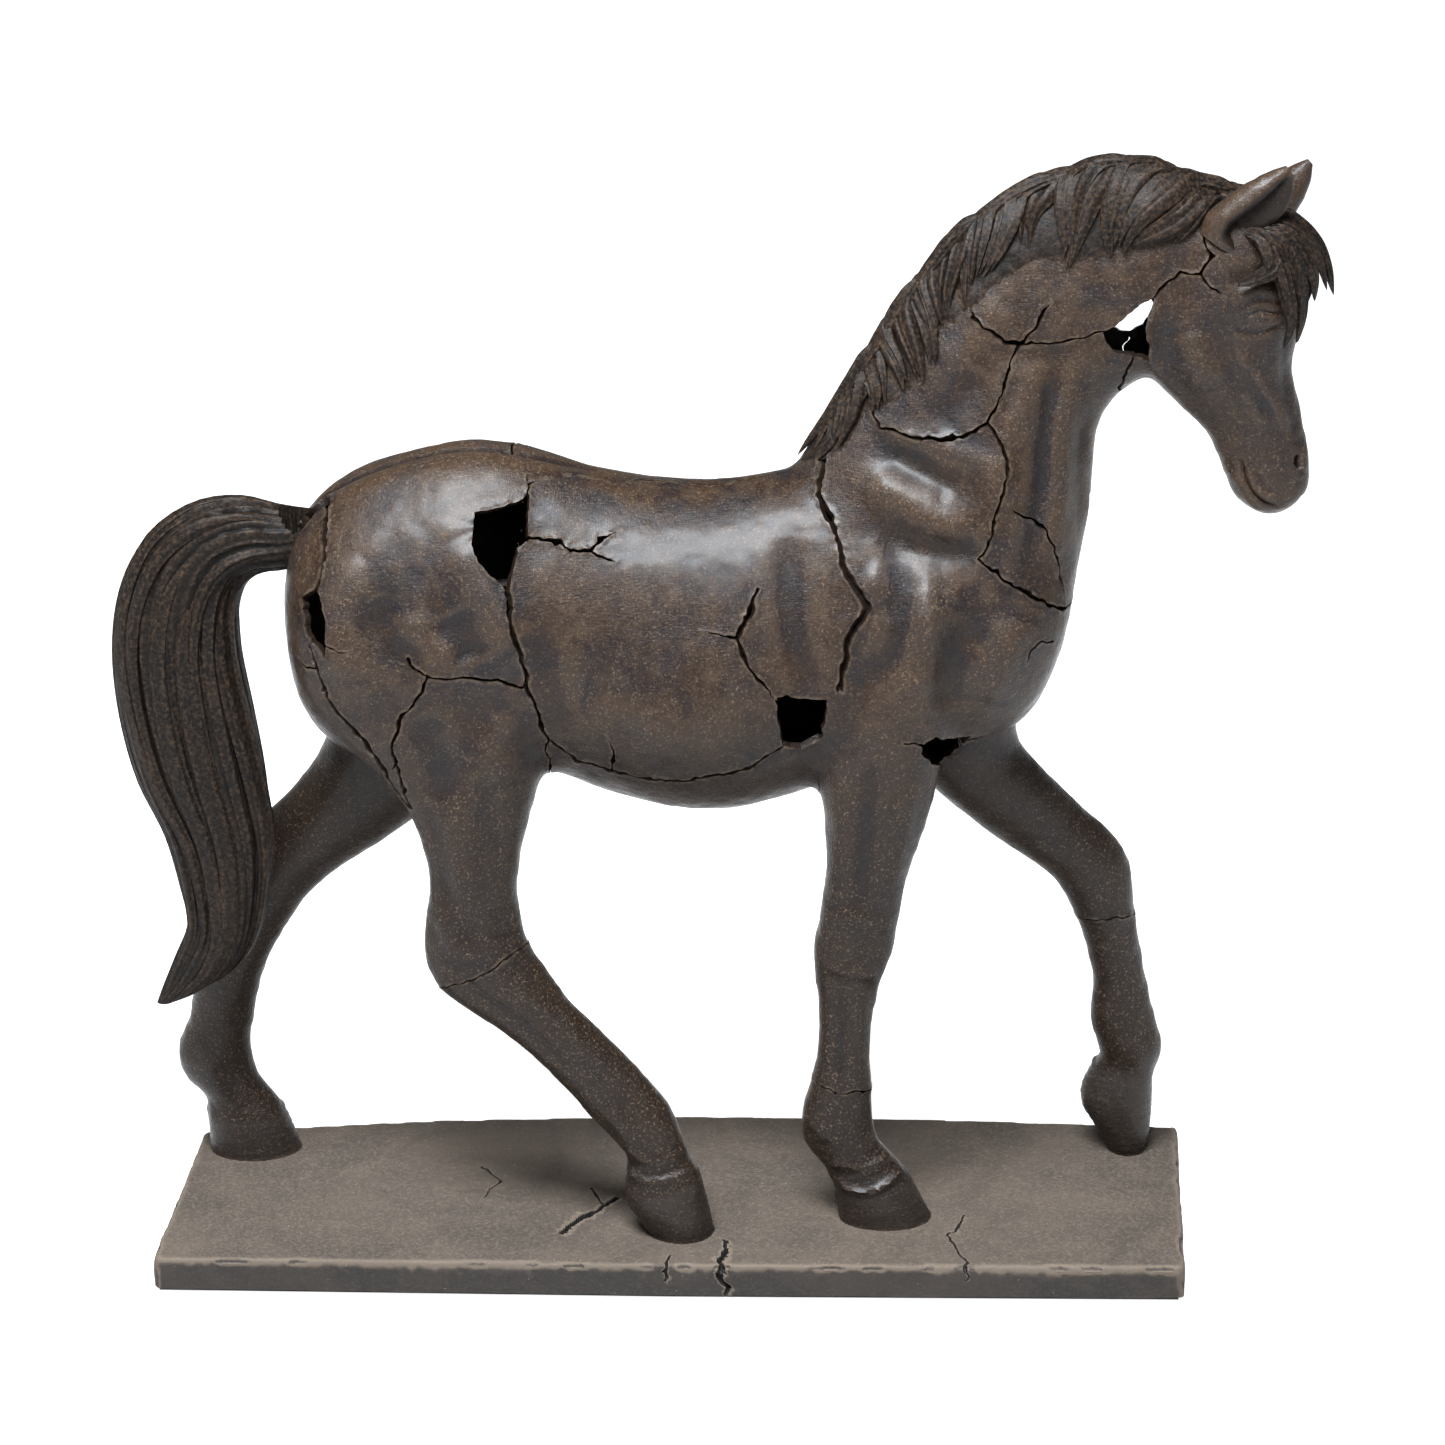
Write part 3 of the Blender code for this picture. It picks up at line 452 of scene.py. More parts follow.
# Strokes of the sculpting: (points in (x, z), side, reach, height)
STROKES = [
    ([(81, 326), (97, 323), (114, 318), (120, 309)], "both", 5, 1.5),
    ([(78, 320), (91, 315), (106, 308)], "both", 5, -2.2),
    ([(73, 310), (91, 301), (110, 292)], "both", 6, 2.0),
    ([(76, 293), (94, 287), (114, 286)], "both", 6, -2.2),
    ([(70, 277), (85, 272), (99, 270)], "both", 7, 2.2),
    ([(84, 283), (84, 254), (72, 240)], "both", 6, -1.6),
    ([(99, 270), (92, 255), (91, 234)], "both", 7, 2.0),
    ([(112, 262), (104, 244), (102, 226)], "both", 6, -1.8),
    ([(128, 262), (122, 246), (116, 230)], "both", 8, 2.0),
    ([(139, 355), (137, 335), (134, 299), (130, 280)], "both", 4, -2.0),
    ([(145, 346), (142, 325), (142, 304), (140, 286)], "both", 4, 1.6),
    ([(152, 336), (150, 316), (151, 287)], "both", 3, -1.2),
    ([(151, 366), (138, 357), (119, 357)], "both", 5, -1.2),
    ([(112, 350), (104, 338), (96, 330)], "both", 7, -1.4),
    ([(128, 340), (122, 322), (122, 300)], "both", 5, 1.2),
    ([(120, 376), (112, 364), (100, 350)], "both", 7, 1.2),
    ([(-103, 272), (-101, 256), (-85, 246)], "both", 9, -2.2),
    ([(-75, 291), (-66, 272), (-54, 252)], "both", 8, 2.0),
    ([(-79, 265), (-70, 247)], "both", 8, -1.8),
    ([(-110, 284), (-120, 262), (-114, 238)], "both", 9, 1.8),
    ([(-95, 262), (-84, 252), (-76, 246)], "both", 6, 1.4),
    ([(-30, 232), (0, 222), (30, 226)], "both", 14, 1.5),
    ([(-46, 262), (-42, 240), (-38, 216)], "both", 6, -1.2),
    ([(44, 290), (46, 262), (50, 238)], "both", 6, -1.4),
    ([(-90, 226), (-84, 208), (-84, 190)], "right", 7, -1.6),
    ([(-55, 228), (-63, 213), (-62, 198)], "right", 7, 2.0),
    ([(-71, 200), (-76, 180), (-74, 154)], "right", 5, 1.6),
    ([(-87, 186), (-82, 154)], "right", 3.5, -1.5),
    ([(-84, 148), (-79, 134), (-70, 131)], "right", 4, 1.5),
    ([(-62, 150), (-60, 136)], "right", 4, -1.2),
    ([(-55, 214), (-59, 194), (-56, 175)], "right", 5, 1.4),
    ([(-75, 120), (-52, 101), (-36, 84)], "right", 2.2, -1.3),
    ([(-60, 122), (-40, 103), (-22, 84)], "right", 2.4, 0.9),
    ([(-25, 70), (-16, 58), (-14, 48)], "right", 3, 1.4),
    ([(-18, 44), (-9, 39), (12, 42)], "right", 1.4, 1.3),
    ([(-16, 51), (-7, 47), (10, 50)], "right", 1.6, 0.9),
    ([(75, 205), (73, 174), (71, 150)], "right", 4, -1.7),
    ([(64, 212), (65, 180), (63, 154)], "right", 4.5, 1.5),
    ([(90, 200), (86, 176), (82, 156)], "right", 4, 1.2),
    ([(58, 142), (70, 145), (84, 139)], "right", 3, 1.2),
    ([(59, 124), (79, 119)], "right", 3, 1.1),
    ([(72, 138), (72, 126)], "right", 3.5, -0.9),
    ([(65, 112), (65, 78)], "right", 2, -1.3),
    ([(73, 114), (72, 80)], "right", 2.4, 0.8),
    ([(53, 60), (61, 50)], "right", 3, 1.3),
    ([(62, 32), (76, 30), (92, 37)], "right", 1.4, 1.4),
    ([(60, 40), (76, 39), (89, 44)], "right", 1.6, 1.0),
    ([(119, 178), (139, 157), (153, 147)], "left", 4, 1.5),
    ([(116, 175), (133, 154), (148, 138)], "left", 3, -1.4),
    ([(158, 134), (168, 128), (176, 118)], "left", 4, 1.2),
    ([(165, 113), (170, 82), (176, 61)], "left", 2, -1.3),
    ([(164, 54), (171, 48), (190, 46)], "left", 1.4, 1.3),
    ([(-183, 28), (-171, 26), (-154, 32)], "left", 1.4, 1.4),
    ([(-154, 163), (-161, 109), (-172, 72)], "left", 3, -1.4),
    ([(-168, 130), (-174, 110), (-182, 80)], "left", 3, 1.2),
    ([(203, 377), (211, 380.5), (220, 377)], "both", 2.4, 1.3),
    ([(206, 371), (212, 372), (218, 371)], "both", 2.8, 0.9),
    ([(206, 373.2), (212, 375.4), (219, 373.2)], "both", 1.0, 0.5),
    ([(206.5, 371.4), (212, 372.8), (218.5, 371.2)], "both", 0.6, -0.8),
    ([(207, 369.2), (212, 368), (218, 369.4)], "both", 1.0, 0.4),
    ([(204, 366), (211, 364.5), (219, 367)], "both", 1.0, -0.7),
    ([(199, 384), (209, 385), (217, 388)], "both", 3, -1.3),
    ([(203, 358), (211, 347), (221, 333), (226, 324)], "both", 2.6, 1.0),
    ([(207, 352), (213, 340), (218, 332)], "both", 2.6, -0.9),
    ([(199, 362), (203, 350), (206, 338)], "both", 4, -1.2),
    ([(172, 366), (175, 351), (185, 338), (196, 324)], "both", 3, 1.3),
    ([(186, 366), (190, 354), (195, 343)], "both", 6, 1.4),
    ([(222, 362), (223, 343), (228, 322)], "both", 2.4, -0.9),
    ([(227.5, 318), (230.5, 314), (229.5, 309)], "both", 2.4, 1.0),
    ([(229.3, 316.5), (228.6, 313.5), (230, 310.5)], "both", 1.3, -2.6),
    ([(208, 314), (211, 305), (216, 299), (222, 297)], "both", 0.8, -1.5),
    ([(211, 309), (215, 303), (221, 300)], "both", 1.6, 0.8),
    ([(207, 308), (212, 299), (218, 294)], "both", 1.6, 0.7),
]

# Pieces outside the shell
NEAR_EAR = [
    (189, 400, 205, 390, -5, 6.5),
    (192, 407, 208, 396.5, -6.5, 7.5),
    (198, 412.5, 213.5, 401.5, -7.5, 7),
    (205, 418, 218.5, 407, -8.2, 6),
    (212, 422, 221, 413.5, -8.6, 4),
    (218.5, 424.5, 221.5, 421, -8.6, 1.2),
]
EAR_LEFT = [
    (209, 398, 222, 391, 17, 6),
    (212, 407, 225, 399, 19, 6.5),
    (218, 414, 229, 406, 20, 5.5),
    (225, 418, 231, 412, 20.5, 3.4),
    (229.5, 420, 231.5, 418, 20.5, 1.2),
]
MANES = {
    "mane_lower": [(30, 302), (52, 312), (64, 318), (73, 334), (86, 338), (60, 380), (30, 380)],
    "mane_middle": [(86, 338), (92, 350), (97, 366), (106, 366), (96, 430), (40, 430), (60, 380)],
    "mane_upper": [
        (106, 366), (115, 378), (131, 389), (154, 389), (172, 400), (190, 407), (194, 440),
        (96, 440), (96, 430),
    ],
}

# Locks of the mane from root to tip: (points in (x, z), width)
MANE_LOCKS = {
    "mane_upper": [
        ([(173, 428), (161, 426), (151, 420), (145, 413), (143, 404), (144, 391)], 9.1),
        ([(166, 429), (153, 427), (142, 420), (134, 412), (129, 405), (128, 392)], 9.1),
        ([(155, 428), (142, 425), (131, 419), (126, 411), (123, 403), (117, 390), (112, 380)], 9.1),
        ([(147, 427), (134, 423), (124, 418), (119, 411), (115, 402), (111, 390), (109, 378)], 8.45),
        ([(136, 423), (125, 419), (115, 411), (112, 404), (111, 395), (107, 386), (107, 372)], 7.8),
        ([(180, 426), (169, 425), (158, 421), (151, 413), (147, 403), (141, 384)], 10.4),
        ([(188, 423), (177, 424), (166, 419), (161, 412), (158, 402), (159, 391)], 9.75),
        ([(200, 411), (191, 409), (186, 403), (180, 396)], 5.85),
        ([(204, 411), (193, 413), (182, 405), (173, 400), (163, 395)], 7.8),
        ([(207, 414), (198, 423), (185, 418), (172, 410), (164, 402), (160, 391)], 10.4),
    ],
    "mane_middle": [
        ([(125, 419), (114, 412), (109, 406), (108, 398), (104, 388), (100, 376), (101, 367)], 7.8),
        ([(116, 412), (106, 405), (101, 398), (96, 389), (94, 379), (96, 370), (99, 364)], 7.8),
        ([(106, 405), (100, 397), (95, 389), (91, 381), (93, 371), (97, 362)], 7.8),
        ([(100, 398), (93, 389), (90, 380), (92, 372), (95, 360), (96, 351)], 6.5),
        ([(95, 389), (91, 378), (86, 369), (87, 361), (90, 353), (92, 343)], 7.15),
    ],
    "mane_lower": [
        ([(93, 387), (86, 376), (80, 368), (80, 359), (85, 350), (87, 341)], 7.15),
        ([(88, 381), (82, 374), (76, 366), (74, 359), (77, 348), (78, 335)], 7.8),
        ([(82, 374), (77, 365), (74, 358), (73, 348), (76, 340), (75, 332)], 7.8),
        ([(76, 365), (72, 354), (68, 345), (63, 340), (60, 334), (53, 326), (42, 317)], 9.1),
        ([(78, 362), (73, 350), (70, 341), (66, 335), (62, 329), (59, 321), (54, 314)], 8.45),
        ([(74, 350), (70, 341), (68, 334), (65, 326), (62, 319)], 6.5),
    ],
}
FORELOCK_ROOT = [
    (195, 409, 196, 404, 6, 4),
    (200, 414, 200, 402, 6, 8),
    (209, 413, 204, 399, 6, 11),
    (217, 408, 211, 396, 6, 12),
    (224, 401, 216, 393, 6, 10),
    (229, 394, 220, 389, 6, 6),
]
FORELOCK_LOCKS = [
    ([(206, 404), (215, 402), (222, 400), (229, 394), (233, 386), (236, 376)], (-3, -2, 0, 2, 3, 4), 8.75),
    (
        [
            (206, 402), (214, 400), (220, 399), (226, 391), (230, 383), (231, 374),
        ],
        (-6, -6, -6, -5, -4, -3),
        7.5,
    ),
    (
        [
            (206, 401), (212, 399), (218, 396), (222, 389), (225, 380), (226, 370), (225, 360),
        ],
        (-8, -9, -10, -10, -9, -8, -7),
        6.875,
    ),
    (
        [
            (206, 400), (212, 398), (216, 393), (218, 387), (221, 376), (222, 368), (220, 359),
        ],
        (-8, -10, -12, -13, -13, -12, -11),
        5,
    ),
    (
        [
            (206, 400), (211, 398), (214, 393), (214, 388), (209, 385), (202, 383),
        ],
        (-8, -11, -13, -14.5, -15.5, -16),
        5,
    ),
    ([(206, 404), (215, 403), (223, 401), (231, 394), (236, 384), (239, 373)], (4, 4, 5, 7, 8, 9), 8.75),
    (
        [
            (206, 403), (214, 401), (221, 398), (228, 390), (231, 380), (230, 369),
        ],
        (8, 10, 12, 13, 13, 12),
        8.125,
    ),
    (
        [
            (206, 401), (212, 399), (217, 394), (221, 385), (223, 375), (222, 364),
        ],
        (14, 18, 21, 22, 22, 20),
        6.25,
    ),
]
MUSCLE = 1.4  # how much stronger the broad strokes are than their listed height
CRACK_GAPE = 1.35  # the cracks gape this much wider than their listed half widths


# ---------------------------------------------------------------- numbers and noise


def smooth_step(value, low, high):
    """0 below low, 1 above high and a smooth rise between them."""
    t = np.clip((value - low) / (high - low), 0, 1)
    return t * t * (3 - 2 * t)


def lattice(cells, seed):
    """A repeatable number from 0 to 1 for each row of whole numbers."""
    mixed = seed * 374761393 + 1013904223
    mixed = mixed + cells[:, 0] * 668265263 + cells[:, 1] * 2246822519 + cells[:, 2] * 3266489917
    mixed = (mixed ^ (mixed >> 15)) & 0xFFFFFFFF
    mixed = (mixed * 2654435761) & 0xFFFFFFFF
    mixed = mixed ^ (mixed >> 13)
    mixed = (mixed * 1274126177) & 0xFFFFFFFF
    return ((mixed ^ (mixed >> 16)) & 0xFFFFFF) / float(0xFFFFFF)


def noise(points, size, seed=0):
    """Smooth noise from -1 to 1 with lumps of this size, for rows of three coordinates."""
    scaled = points / size
    cells = np.floor(scaled).astype(np.int64)
    t = scaled - cells
    t = t * t * (3 - 2 * t)
    total = np.zeros(len(points))
    for corner in range(8):
        step = np.array([corner & 1, (corner >> 1) & 1, (corner >> 2) & 1])
        weight = np.prod(np.where(step, t, 1 - t), axis=1)
        total += weight * lattice(cells + step, seed)
    return 2 * total - 1


def spline(rows, steps):
    """Rows of numbers joined by a Catmull-Rom spline."""
    rows = np.array(rows, float)
    ends = np.vstack([2 * rows[0] - rows[1], rows, 2 * rows[-1] - rows[-2]])
    found = []
    for i in range(1, len(rows)):
        before, start, end, after = ends[i - 1 : i + 3]
        for t in np.arange(steps) / steps:
            slope = (end - before) * t
            bend = (2 * before - 5 * start + 4 * end - after) * t**2
            swing = (3 * start - before - 3 * end + after) * t**3
            found.append(0.5 * (2 * start + slope + bend + swing))
    return np.array(found + [rows[-1]])


def path_distance(flat, path):
    """Distance of each (x, z) point from a path, and how far along it the nearest place is, 0 to 1."""
    path = np.array(path, float)
    lengths = np.linalg.norm(np.diff(path, axis=0), axis=1)
    total = lengths.sum()
    best = np.full(len(flat), 1e9)
    along = np.zeros(len(flat))
    passed = 0.0
    for start, end, length in zip(path[:-1], path[1:], lengths):
        if length == 0:
            continue
        direction = (end - start) / length
        t = np.clip((flat - start) @ direction, 0, length)
        away = np.linalg.norm(flat - start - t[:, None] * direction, axis=1)
        nearer = away < best
        best[nearer] = away[nearer]
        along[nearer] = (passed + t[nearer]) / total
        passed += length
    return best, along


def within(flat, outline):
    """Whether each (x, z) point is inside the outline."""
    inside = np.zeros(len(flat), bool)
    outline = np.array(outline, float)
    for (ax, az), (bx, bz) in zip(outline, np.roll(outline, -1, axis=0)):
        if az == bz:
            continue
        crosses = (flat[:, 1] > az) != (flat[:, 1] > bz)
        reach = (bx - ax) * (flat[:, 1] - az) / (bz - az) + ax
        inside ^= crosses & (flat[:, 0] < reach)
    return inside


def near_box(flat, path, margin):
    """Which points lie within margin of the path's bounding box."""
    path = np.array(path, float)
    low, high = path.min(0) - margin, path.max(0) + margin
    return np.all((flat > low) & (flat < high), axis=1)


# ---------------------------------------------------------------- meshes as arrays


def loft(ribs, sides=40, steps=6, egg=0.0, shape=None):
    """Points and triangles of a closed form through ribs. shape(t, angles) changes the radius."""
    rings = spline(ribs, steps)
    angles = 2 * math.pi * np.arange(sides) / sides
    along, across = np.cos(angles), np.sin(angles)
    points = []
    for number, (front_x, front_z, back_x, back_z, y, half_width) in enumerate(rings):
        middle = np.array([(front_x + back_x) / 2, y, (front_z + back_z) / 2])
        reach = np.array([(front_x - back_x) / 2, 0, (front_z - back_z) / 2])
        radius = np.ones(sides) if shape is None else shape(number / (len(rings) - 1), angles)
        ring = middle + (radius * along)[:, None] * reach
        ring[:, 1] += half_width * radius * across * (1 + egg * along)
        points.append(ring)
    return np.vstack(points), tube_faces(len(rings), sides)


def tube_faces(rings, sides):
    """Triangles of a tube of rings, closed by a fan at each end."""
    faces = []
    for ring in range(rings - 1):
        for side in range(sides):
            after = (side + 1) % sides
            low, high = ring * sides, (ring + 1) * sides
            faces.append((low + side, low + after, high + after))
            faces.append((low + side, high + after, high + side))
    last = (rings - 1) * sides
    for side in range(1, sides - 1):
        faces.append((0, side + 1, side))
        faces.append((last, last + side, last + side + 1))
    return np.array(faces)


def outward(points, faces):
    """The faces, turned if needed so that the closed form's volume is positive."""
    a, b, c = points[faces[:, 0]], points[faces[:, 1]], points[faces[:, 2]]
    volume = np.sum(a * np.cross(b, c))
    return faces if volume > 0 else faces[:, ::-1]


def join(parts):
    """One set of points and faces from several."""
    points, faces, count = [], [], 0
    for part_points, part_faces in parts:
        points.append(part_points)
        faces.append(outward(part_points, part_faces) + count)
        count += len(part_points)
    return np.vstack(points), np.vstack(faces)


def add_mesh(name, points, faces):
    """A Blender object from points in millimetres."""
    mesh = bpy.data.meshes.new(name)
    mesh.from_pydata((points * MM).tolist(), [], faces.tolist())
    made = bpy.data.objects.new(name, mesh)
    bpy.context.scene.collection.objects.link(made)
    return made


def read_mesh(piece):
    """Points in millimetres and triangles of an object, with its modifiers applied. Removes the object."""
    graph = bpy.context.evaluated_depsgraph_get()
    mesh = bpy.data.meshes.new_from_object(piece.evaluated_get(graph))
    shaped = bmesh.new()
    shaped.from_mesh(mesh)
    bmesh.ops.triangulate(shaped, faces=shaped.faces)
    points = np.array([vert.co[:] for vert in shaped.verts]) / MM
    faces = np.array([[vert.index for vert in face.verts] for face in shaped.faces])
    shaped.free()
    bpy.data.meshes.remove(mesh)
    bpy.data.objects.remove(piece)
    return points, faces


def normals(points, faces):
    """Area-weighted normals of the points."""
    a, b, c = points[faces[:, 0]], points[faces[:, 1]], points[faces[:, 2]]
    across = np.cross(b - a, c - a)
    found = np.zeros_like(points)
    for axis in range(3):
        for corner in range(3):
            found[:, axis] += np.bincount(faces[:, corner], across[:, axis], len(points))
    return found / np.maximum(np.linalg.norm(found, axis=1), 1e-12)[:, None]


def face_edges(faces):
    """The mesh's edges, and for each triangle the numbers of its three edges."""
    pairs = np.sort(np.vstack([faces[:, [0, 1]], faces[:, [1, 2]], faces[:, [2, 0]]]), axis=1)
    edges, found = np.unique(pairs, axis=0, return_inverse=True)
    return edges, found.ravel().reshape(3, -1).T


def relax(points, faces, rounds, amount=0.5, weight=None):
    """Points moved towards the average of their neighbours."""
    edges, _ = face_edges(faces)
    count = np.bincount(edges.ravel(), minlength=len(points))
    for _ in range(rounds):
        total = np.zeros_like(points)
        for axis in range(points.shape[1]):
            total[:, axis] += np.bincount(edges[:, 0], points[edges[:, 1], axis], len(points))
            total[:, axis] += np.bincount(edges[:, 1], points[edges[:, 0], axis], len(points))
        move = (total / np.maximum(count, 1)[:, None] - points) * amount
        points = points + (move if weight is None else move * weight[:, None])
    return points


def refine(points, faces, chosen):
    """Splits the edges whose two ends are both chosen, so the mesh is finer there."""
    edges, sides = face_edges(faces)
    split = chosen[edges].all(axis=1)
    middle = np.full(len(edges), -1)
    middle[split] = len(points) + np.arange(split.sum())
    points = np.vstack([points, points[edges[split]].mean(axis=1)])
    marks = split[sides]
    count = marks.sum(axis=1)
    a, b, c = faces.T
    ab, bc, ca = middle[sides].T
    kept = [faces[count == 0]]
    full = count == 3
    for corners in ((a, ab, ca), (ab, b, bc), (ca, bc, c), (ab, bc, ca)):
        kept.append(np.stack([corner[full] for corner in corners], axis=1))
    for turn in range(3):
        p, q, r = np.roll(faces, -turn, axis=1).T
        pq, qr, _ = np.roll(middle[sides], -turn, axis=1).T
        mark = np.roll(marks, -turn, axis=1)
        one = (count == 1) & mark[:, 0]
        kept.append(np.stack([p[one], pq[one], r[one]], axis=1))
        kept.append(np.stack([pq[one], q[one], r[one]], axis=1))
        two = (count == 2) & mark[:, 0] & mark[:, 1]
        kept.append(np.stack([pq[two], q[two], qr[two]], axis=1))
        kept.append(np.stack([p[two], pq[two], qr[two]], axis=1))
        kept.append(np.stack([p[two], qr[two], r[two]], axis=1))
    return points, np.vstack(kept)


def clip(points, faces, field):
    """Keeps the part of the mesh where field is above 0. Returns points, faces and how new points mix."""
    keep = field > 0
    inside = keep[faces]
    count = inside.sum(axis=1)
    cut_faces = faces[(count == 1) | (count == 2)]
    pairs = np.vstack([cut_faces[:, [0, 1]], cut_faces[:, [1, 2]], cut_faces[:, [2, 0]]])
    pairs = np.sort(pairs, axis=1)
    pairs = np.unique(pairs[keep[pairs[:, 0]] != keep[pairs[:, 1]]], axis=0)
    low, high = field[pairs[:, 0]], field[pairs[:, 1]]
    share = np.clip(low / (low - high), 0.02, 0.98)
    fresh = points[pairs[:, 0]] * (1 - share)[:, None] + points[pairs[:, 1]] * share[:, None]
    codes = pairs[:, 0].astype(np.int64) * len(points) + pairs[:, 1]

    def between(p, q):
        low_end, high_end = np.minimum(p, q), np.maximum(p, q)
        return len(points) + np.searchsorted(codes, low_end.astype(np.int64) * len(points) + high_end)

    kept = [faces[count == 3]]
    for turn in range(3):
        p, q, r = np.roll(faces, -turn, axis=1).T
        ins = np.roll(inside, -turn, axis=1)
        one = (count == 1) & ins[:, 0]
        if one.any():
            kept.append(np.stack([p[one], between(p[one], q[one]), between(p[one], r[one])], axis=1))
        two = (count == 2) & ~ins[:, 0]
        if two.any():
            pq, pr = between(p[two], q[two]), between(p[two], r[two])
            kept.append(np.stack([pq, q[two], r[two]], axis=1))
            kept.append(np.stack([pq, r[two], pr], axis=1))
    return np.vstack([points, fresh]), np.vstack(kept), pairs, share


def mixed(values, pairs, share):
    """Values of the points, carried over to the points that clip() adds."""
    weight = share if values.ndim == 1 else share[:, None]
    return np.concatenate([values, values[pairs[:, 0]] * (1 - weight) + values[pairs[:, 1]] * weight])


def compact(points, faces, *values):
    """The same mesh without its unused points."""
    used = np.unique(faces)
    place = np.zeros(len(points), np.int64)
    place[used] = np.arange(len(used))
    return (points[used], place[faces]) + tuple(value[used] for value in values)


def islands(count, faces):
    """A number for each point that is the same over each connected part."""
    label = np.arange(count)
    while True:
        low = label[faces].min(axis=1)
        fresh = label.copy()
        for corner in range(3):
            np.minimum.at(fresh, faces[:, corner], low)
        fresh = fresh[fresh]
        if np.array_equal(fresh, label):
            return label
        label = fresh


def face_areas(points, faces):
    a, b, c = points[faces[:, 0]], points[faces[:, 1]], points[faces[:, 2]]
    return np.linalg.norm(np.cross(b - a, c - a), axis=1) / 2


def thicken(points, faces, facing, depth, reach):
    """A closed plate: the surface, a copy of it sunk by depth, and walls round its rim.

    reach is how far each rim point's wall leans out, so that cracks close behind the surface.
    """
    pairs = np.vstack([faces[:, [0, 1]], faces[:, [1, 2]], faces[:, [2, 0]]])
    codes = pairs[:, 0].astype(np.int64) * len(points) + pairs[:, 1]
    back = pairs[:, 1].astype(np.int64) * len(points) + pairs[:, 0]
    rim = pairs[~np.isin(codes, back)]
    count = len(points)
    lean = np.zeros_like(points)
    ahead = points[rim[:, 1]] - points[rim[:, 0]]
    for axis, push in enumerate(np.cross(ahead, facing[rim[:, 0]]).T):
        for end in (0, 1):
            lean[:, axis] += np.bincount(rim[:, end], push, count)
    lean = unit(lean) * reach[:, None]
    walls = np.vstack(
        [
            np.stack([rim[:, 1], rim[:, 0], rim[:, 0] + count], axis=1),
            np.stack([rim[:, 1], rim[:, 0] + count, rim[:, 1] + count], axis=1),
        ]
    )
    inner = np.concatenate([np.zeros(count), np.ones(count)])
    plate = np.vstack([points, points - facing * depth + lean])
    return plate, np.vstack([faces, faces[:, ::-1] + count, walls]), inner


def finish_piece(name, points, faces, material, nodes, values, sharp=40):
    """A finished piece: smooth shading, sharp broken edges, its material, and the nodes it stands for."""
    piece = add_mesh(name, points, faces)
    mesh = piece.data
    mesh.validate()
    mesh.shade_smooth()
    mesh.set_sharp_from_angle(angle=math.radians(sharp))
    for label, numbers in values.items():
        attribute = mesh.attributes.new(label, "FLOAT", "POINT")
        attribute.data.foreach_set("value", np.asarray(numbers, np.float32))
    mesh.materials.append(material)
    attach(piece, "root")
    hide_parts(*nodes)
    return piece


# ---------------------------------------------------------------- the horse's skin


LEGS = {
    "hind_right": (HIND_RIGHT, HOOF_HIND_RIGHT),
    "hind_left": (HIND_LEFT, HOOF_HIND_LEFT),
    "fore_right": (FORE_RIGHT, HOOF_FORE_RIGHT),
    "fore_left": (FORE_LEFT, HOOF_FORE_LEFT),
}
COARSE_VOXEL = 2.9
JOINTS = [
    # (x, z, reach): where limbs, neck and head grow out of the trunk
    (-80, 210, 60),
    (85, 215, 50),
    (95, 290, 55),
    (180, 370, 28),
]


def make_skin():
    """The smooth outer skin of the trunk, neck, head and legs."""
    parts = [loft(TORSO, 64, 6, -0.12), loft(NECK, 56, 6, -0.25), loft(HEAD, 48, 6, 0.1)]
    for leg, hoof in LEGS.values():
        parts.append(loft(leg, 36, 5))
        parts.append(loft(hoof, 36, 5))
    body = add_mesh("skin", *join(parts))
    remesh = body.modifiers.new("skin", "REMESH")
    remesh.mode = "VOXEL"
    remesh.voxel_size = COARSE_VOXEL * MM
    points, faces = read_mesh(body)
    weight = np.full(len(points), 0.25)
    for x, z, reach in JOINTS:
        weight += 0.75 * np.exp(-(((points[:, 0] - x) ** 2 + (points[:, 2] - z) ** 2) / reach**2))
    points = relax(points, faces, 7, 0.6, np.clip(weight, 0, 1))
    points, faces = refine(points, faces, np.ones(len(points), bool))
    points = relax(points, faces, 2, 0.5)
    fine = (points[:, 0] > 165) & (points[:, 2] > 285)
    points, faces = refine(points, faces, fine)
    return relax(points, faces, 2, 0.5), faces


def side_weight(points, facing, side):
    """How far a stroke on this side of the horse reaches each point."""
    if side == "both":
        return smooth_step(np.abs(facing[:, 1]), 0.05, 0.45)
    sign = -1 if side == "right" else 1
    beyond = sign * (points[:, 1] - MID_Y) > 0
    return beyond * smooth_step(sign * facing[:, 1], 0.02, 0.4)


def sculpt(points, faces):
    """Muscles, tendons, hooves and the face, as soft strokes on the skin."""
    for path, side, reach, height in STROKES:
        facing = normals(points, faces)
        curve = spline(path, 4)
        flat = points[:, [0, 2]]
        close = np.flatnonzero(near_box(flat, curve, 2.5 * reach))
        away, along = path_distance(flat[close], curve)
        taper = smooth_step(along, -0.05, 0.2) * smooth_step(1 - along, -0.05, 0.2)
        depth = height * (MUSCLE if reach > 5 else 1)
        push = depth * np.exp(-((away / reach) ** 2)) * (0.25 + 0.75 * taper)
        push *= side_weight(points[close], facing[close], side)
        points[close] += facing[close] * push[:, None]
    return points


